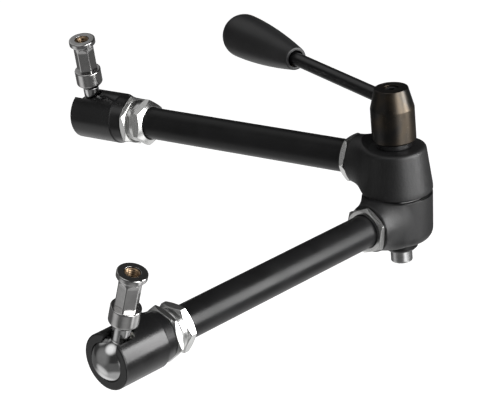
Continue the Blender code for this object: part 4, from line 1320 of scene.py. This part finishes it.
class FrictionArmSizes(bpy.types.PropertyGroup):
    """Main sizes of the arm's pieces."""
    tube_radius: FloatProperty(name="Tube radius", description="Outside radius of both tubes",
                               default=9.525 * MM, min=0.001, subtype="DISTANCE", unit="LENGTH")
    ball_radius: FloatProperty(name="Ball radius", description="Radius of both ball studs",
                               default=12.7 * MM, min=0.001, subtype="DISTANCE", unit="LENGTH")
    neck_radius: FloatProperty(name="Neck radius", description="Radius of a stud between ball and spigot",
                               default=4.75 * MM, min=0.001, subtype="DISTANCE", unit="LENGTH")
    spigot_radius: FloatProperty(name="Spigot radius", description="Radius of a spigot's head and collar",
                                 default=8.0 * MM, min=0.001, subtype="DISTANCE", unit="LENGTH")
    socket_wall: FloatProperty(name="Socket wall", description="Wall round the ball in a socket",
                               default=2.25 * MM, min=0.0005, subtype="DISTANCE", unit="LENGTH")
    casting_radius: FloatProperty(name="Casting radius", description="Radius of the elbow at its parting line",
                                  default=20.15 * MM, min=0.001, subtype="DISTANCE", unit="LENGTH")
    hub_radius: FloatProperty(name="Hub radius", description="Radius of the lever's hub",
                              default=12.45 * MM, min=0.001, subtype="DISTANCE", unit="LENGTH")
    lever_rod_radius: FloatProperty(name="Lever rod radius", description="Radius of the lever's rod",
                                    default=4.0 * MM, min=0.001, subtype="DISTANCE", unit="LENGTH")
    knob_radius: FloatProperty(name="Knob radius", description="Radius of the knob at its widest",
                               default=13.5 * MM, min=0.001, subtype="DISTANCE", unit="LENGTH")
    columns: IntProperty(name="Columns", description="Faces round a turned piece", default=128, min=12, max=512)


class FrictionArmColours(bpy.types.PropertyGroup):
    """Base colours of the arm's finishes."""
    black: FloatVectorProperty(name="Black", description="Anodised, coated and moulded black",
                               default=(0.0095, 0.0095, 0.0098), subtype="COLOR", size=3, min=0.0, max=1.0)
    spigot_steel: FloatVectorProperty(name="Spigot steel", description="Satin plated steel of the spigots",
                                      default=(0.55, 0.545, 0.54), subtype="COLOR", size=3, min=0.0, max=1.0)
    polished_steel: FloatVectorProperty(name="Polished steel", description="Polished steel of the ball studs",
                                        default=(0.66, 0.66, 0.66), subtype="COLOR", size=3, min=0.0, max=1.0)
    nickel: FloatVectorProperty(name="Nickel", description="Plating of the nuts",
                                default=(0.70, 0.70, 0.69), subtype="COLOR", size=3, min=0.0, max=1.0)
    bare_steel: FloatVectorProperty(name="Bare steel", description="Shaft, pin and washers",
                                    default=(0.60, 0.60, 0.60), subtype="COLOR", size=3, min=0.0, max=1.0)
    brass: FloatVectorProperty(name="Brass", description="Thread bushes and the knob's insert",
                               default=(0.33, 0.235, 0.15), subtype="COLOR", size=3, min=0.0, max=1.0)
    burnished_dark: FloatVectorProperty(name="Burnished dark", description="Dark skin of the lever's hub",
                                        default=(0.046, 0.045, 0.044), subtype="COLOR", size=3, min=0.0, max=1.0)
    burnished_brown: FloatVectorProperty(name="Burnished brown", description="Brown patches on the lever's hub",
                                         default=(0.074, 0.061, 0.047), subtype="COLOR", size=3, min=0.0, max=1.0)
    nylon: FloatVectorProperty(name="Nylon", description="Seats behind the balls",
                               default=(0.75, 0.73, 0.68), subtype="COLOR", size=3, min=0.0, max=1.0)


class FRICTIONARM_OT_studs(bpy.types.Operator):
    """Add both ball studs"""
    bl_idname = "friction_arm.studs"
    bl_label = "Ball studs"

    def execute(self, context):
        for side in SIDES:
            build_stud(side)
        return {"FINISHED"}


class FRICTIONARM_OT_spigots(bpy.types.Operator):
    """Add both spigots and their thread bushes"""
    bl_idname = "friction_arm.spigots"
    bl_label = "Spigots and bushes"

    def execute(self, context):
        for side in SIDES:
            build_spigot(side)
            build_thread_bush(side)
        return {"FINISHED"}


class FRICTIONARM_OT_sockets(bpy.types.Operator):
    """Add both ball sockets and the seats inside them"""
    bl_idname = "friction_arm.sockets"
    bl_label = "Ball sockets and seats"

    def execute(self, context):
        for side in SIDES:
            build_socket(side)
            build_seat(side)
        return {"FINISHED"}


class FRICTIONARM_OT_nuts(bpy.types.Operator):
    """Add the bushings, lock nuts and elbow nuts"""
    bl_idname = "friction_arm.nuts"
    bl_label = "Bushings and nuts"

    def execute(self, context):
        for side in SIDES:
            build_bushing(side)
            build_lock_nut(side)
            build_elbow_nut(side)
        return {"FINISHED"}


class FRICTIONARM_OT_tubes(bpy.types.Operator):
    """Add both tubes and the push rods inside them"""
    bl_idname = "friction_arm.tubes"
    bl_label = "Tubes and push rods"

    def execute(self, context):
        for side in SIDES:
            build_tube(side)
            build_push_rod(side)
        return {"FINISHED"}


class FRICTIONARM_OT_elbow(bpy.types.Operator):
    """Add the elbow's castings, washers, bush and shaft"""
    bl_idname = "friction_arm.elbow"
    bl_label = "Elbow"

    def execute(self, context):
        s = sizes()
        half = WASHER_THICKNESS / 2
        low = UPPER_HEIGHT + GAP
        build_casting("lower", lower_casting_corners())
        build_casting("upper", upper_casting_corners(), UPPER_TOP_RADIUS - CASTING_ROUND)
        flat_ring("washer_between", "elbow_washer", shaft_bore(), s.casting_radius - WASHER_INSET, -half, half, "steel")
        # Painted shade: the washer under the hub takes the black finish, which stands for the shade and dark
        # reflections under the hub rather than its own bare steel.
        flat_ring("washer_under_hub", "thrust_washer", shaft_bore(), THRUST_RADIUS, low, low + THRUST_HEIGHT,
                  "black_steel")
        build_shaft()
        build_base_bush()
        return {"FINISHED"}


class FRICTIONARM_OT_lever(bpy.types.Operator):
    """Add the lever's hub, set screw, rod, knob and insert"""
    bl_idname = "friction_arm.lever"
    bl_label = "Lever"

    def execute(self, context):
        build_hub()
        build_set_screw()
        build_lever_rod()
        build_knob()
        build_insert()
        return {"FINISHED"}


class FRICTIONARM_OT_stage(bpy.types.Operator):
    """Add the floor, the lights, the world and the camera"""
    bl_idname = "friction_arm.stage"
    bl_label = "Studio"

    def execute(self, context):
        context.scene.view_settings.view_transform = "Standard"
        build_world()
        build_floor()
        build_camera()
        for name, azimuth, elevation, distance, width, height, radiance in SOFTBOXES:
            softbox(name, azimuth, elevation, distance, width, height, radiance)
        return {"FINISHED"}


class FRICTIONARM_PT_panel(bpy.types.Panel):
    """Lists the arm's pieces, sizes and colours"""
    bl_idname = "FRICTIONARM_PT_panel"
    bl_label = "Friction Arm"
    bl_space_type = "VIEW_3D"
    bl_region_type = "UI"
    bl_category = "Friction Arm"

    def draw(self, context):
        layout = self.layout
        for operator in OPERATORS:
            layout.operator(operator.bl_idname)
        for group in (sizes(), colours()):
            box = layout.box()
            for name in group.__annotations__:
                box.prop(group, name)


OPERATORS = (FRICTIONARM_OT_studs, FRICTIONARM_OT_spigots, FRICTIONARM_OT_sockets, FRICTIONARM_OT_nuts,
             FRICTIONARM_OT_tubes, FRICTIONARM_OT_elbow, FRICTIONARM_OT_lever, FRICTIONARM_OT_stage)
CLASSES = (FrictionArmSizes, FrictionArmColours, *OPERATORS, FRICTIONARM_PT_panel)


def register():
    """Register the classes and the scene's settings."""
    for cls in CLASSES:
        bpy.utils.register_class(cls)
    bpy.types.Scene.friction_arm_sizes = PointerProperty(type=FrictionArmSizes)
    bpy.types.Scene.friction_arm_colours = PointerProperty(type=FrictionArmColours)


def unregister():
    """Take the classes and the settings away again."""
    del bpy.types.Scene.friction_arm_colours
    del bpy.types.Scene.friction_arm_sizes
    for cls in reversed(CLASSES):
        bpy.utils.unregister_class(cls)


def main():
    """Add every piece and the studio."""
    register()
    bpy.ops.friction_arm.studs()
    bpy.ops.friction_arm.spigots()
    bpy.ops.friction_arm.sockets()
    bpy.ops.friction_arm.nuts()
    bpy.ops.friction_arm.tubes()
    bpy.ops.friction_arm.elbow()
    bpy.ops.friction_arm.lever()
    bpy.ops.friction_arm.stage()


if __name__ == "__main__":
    main()
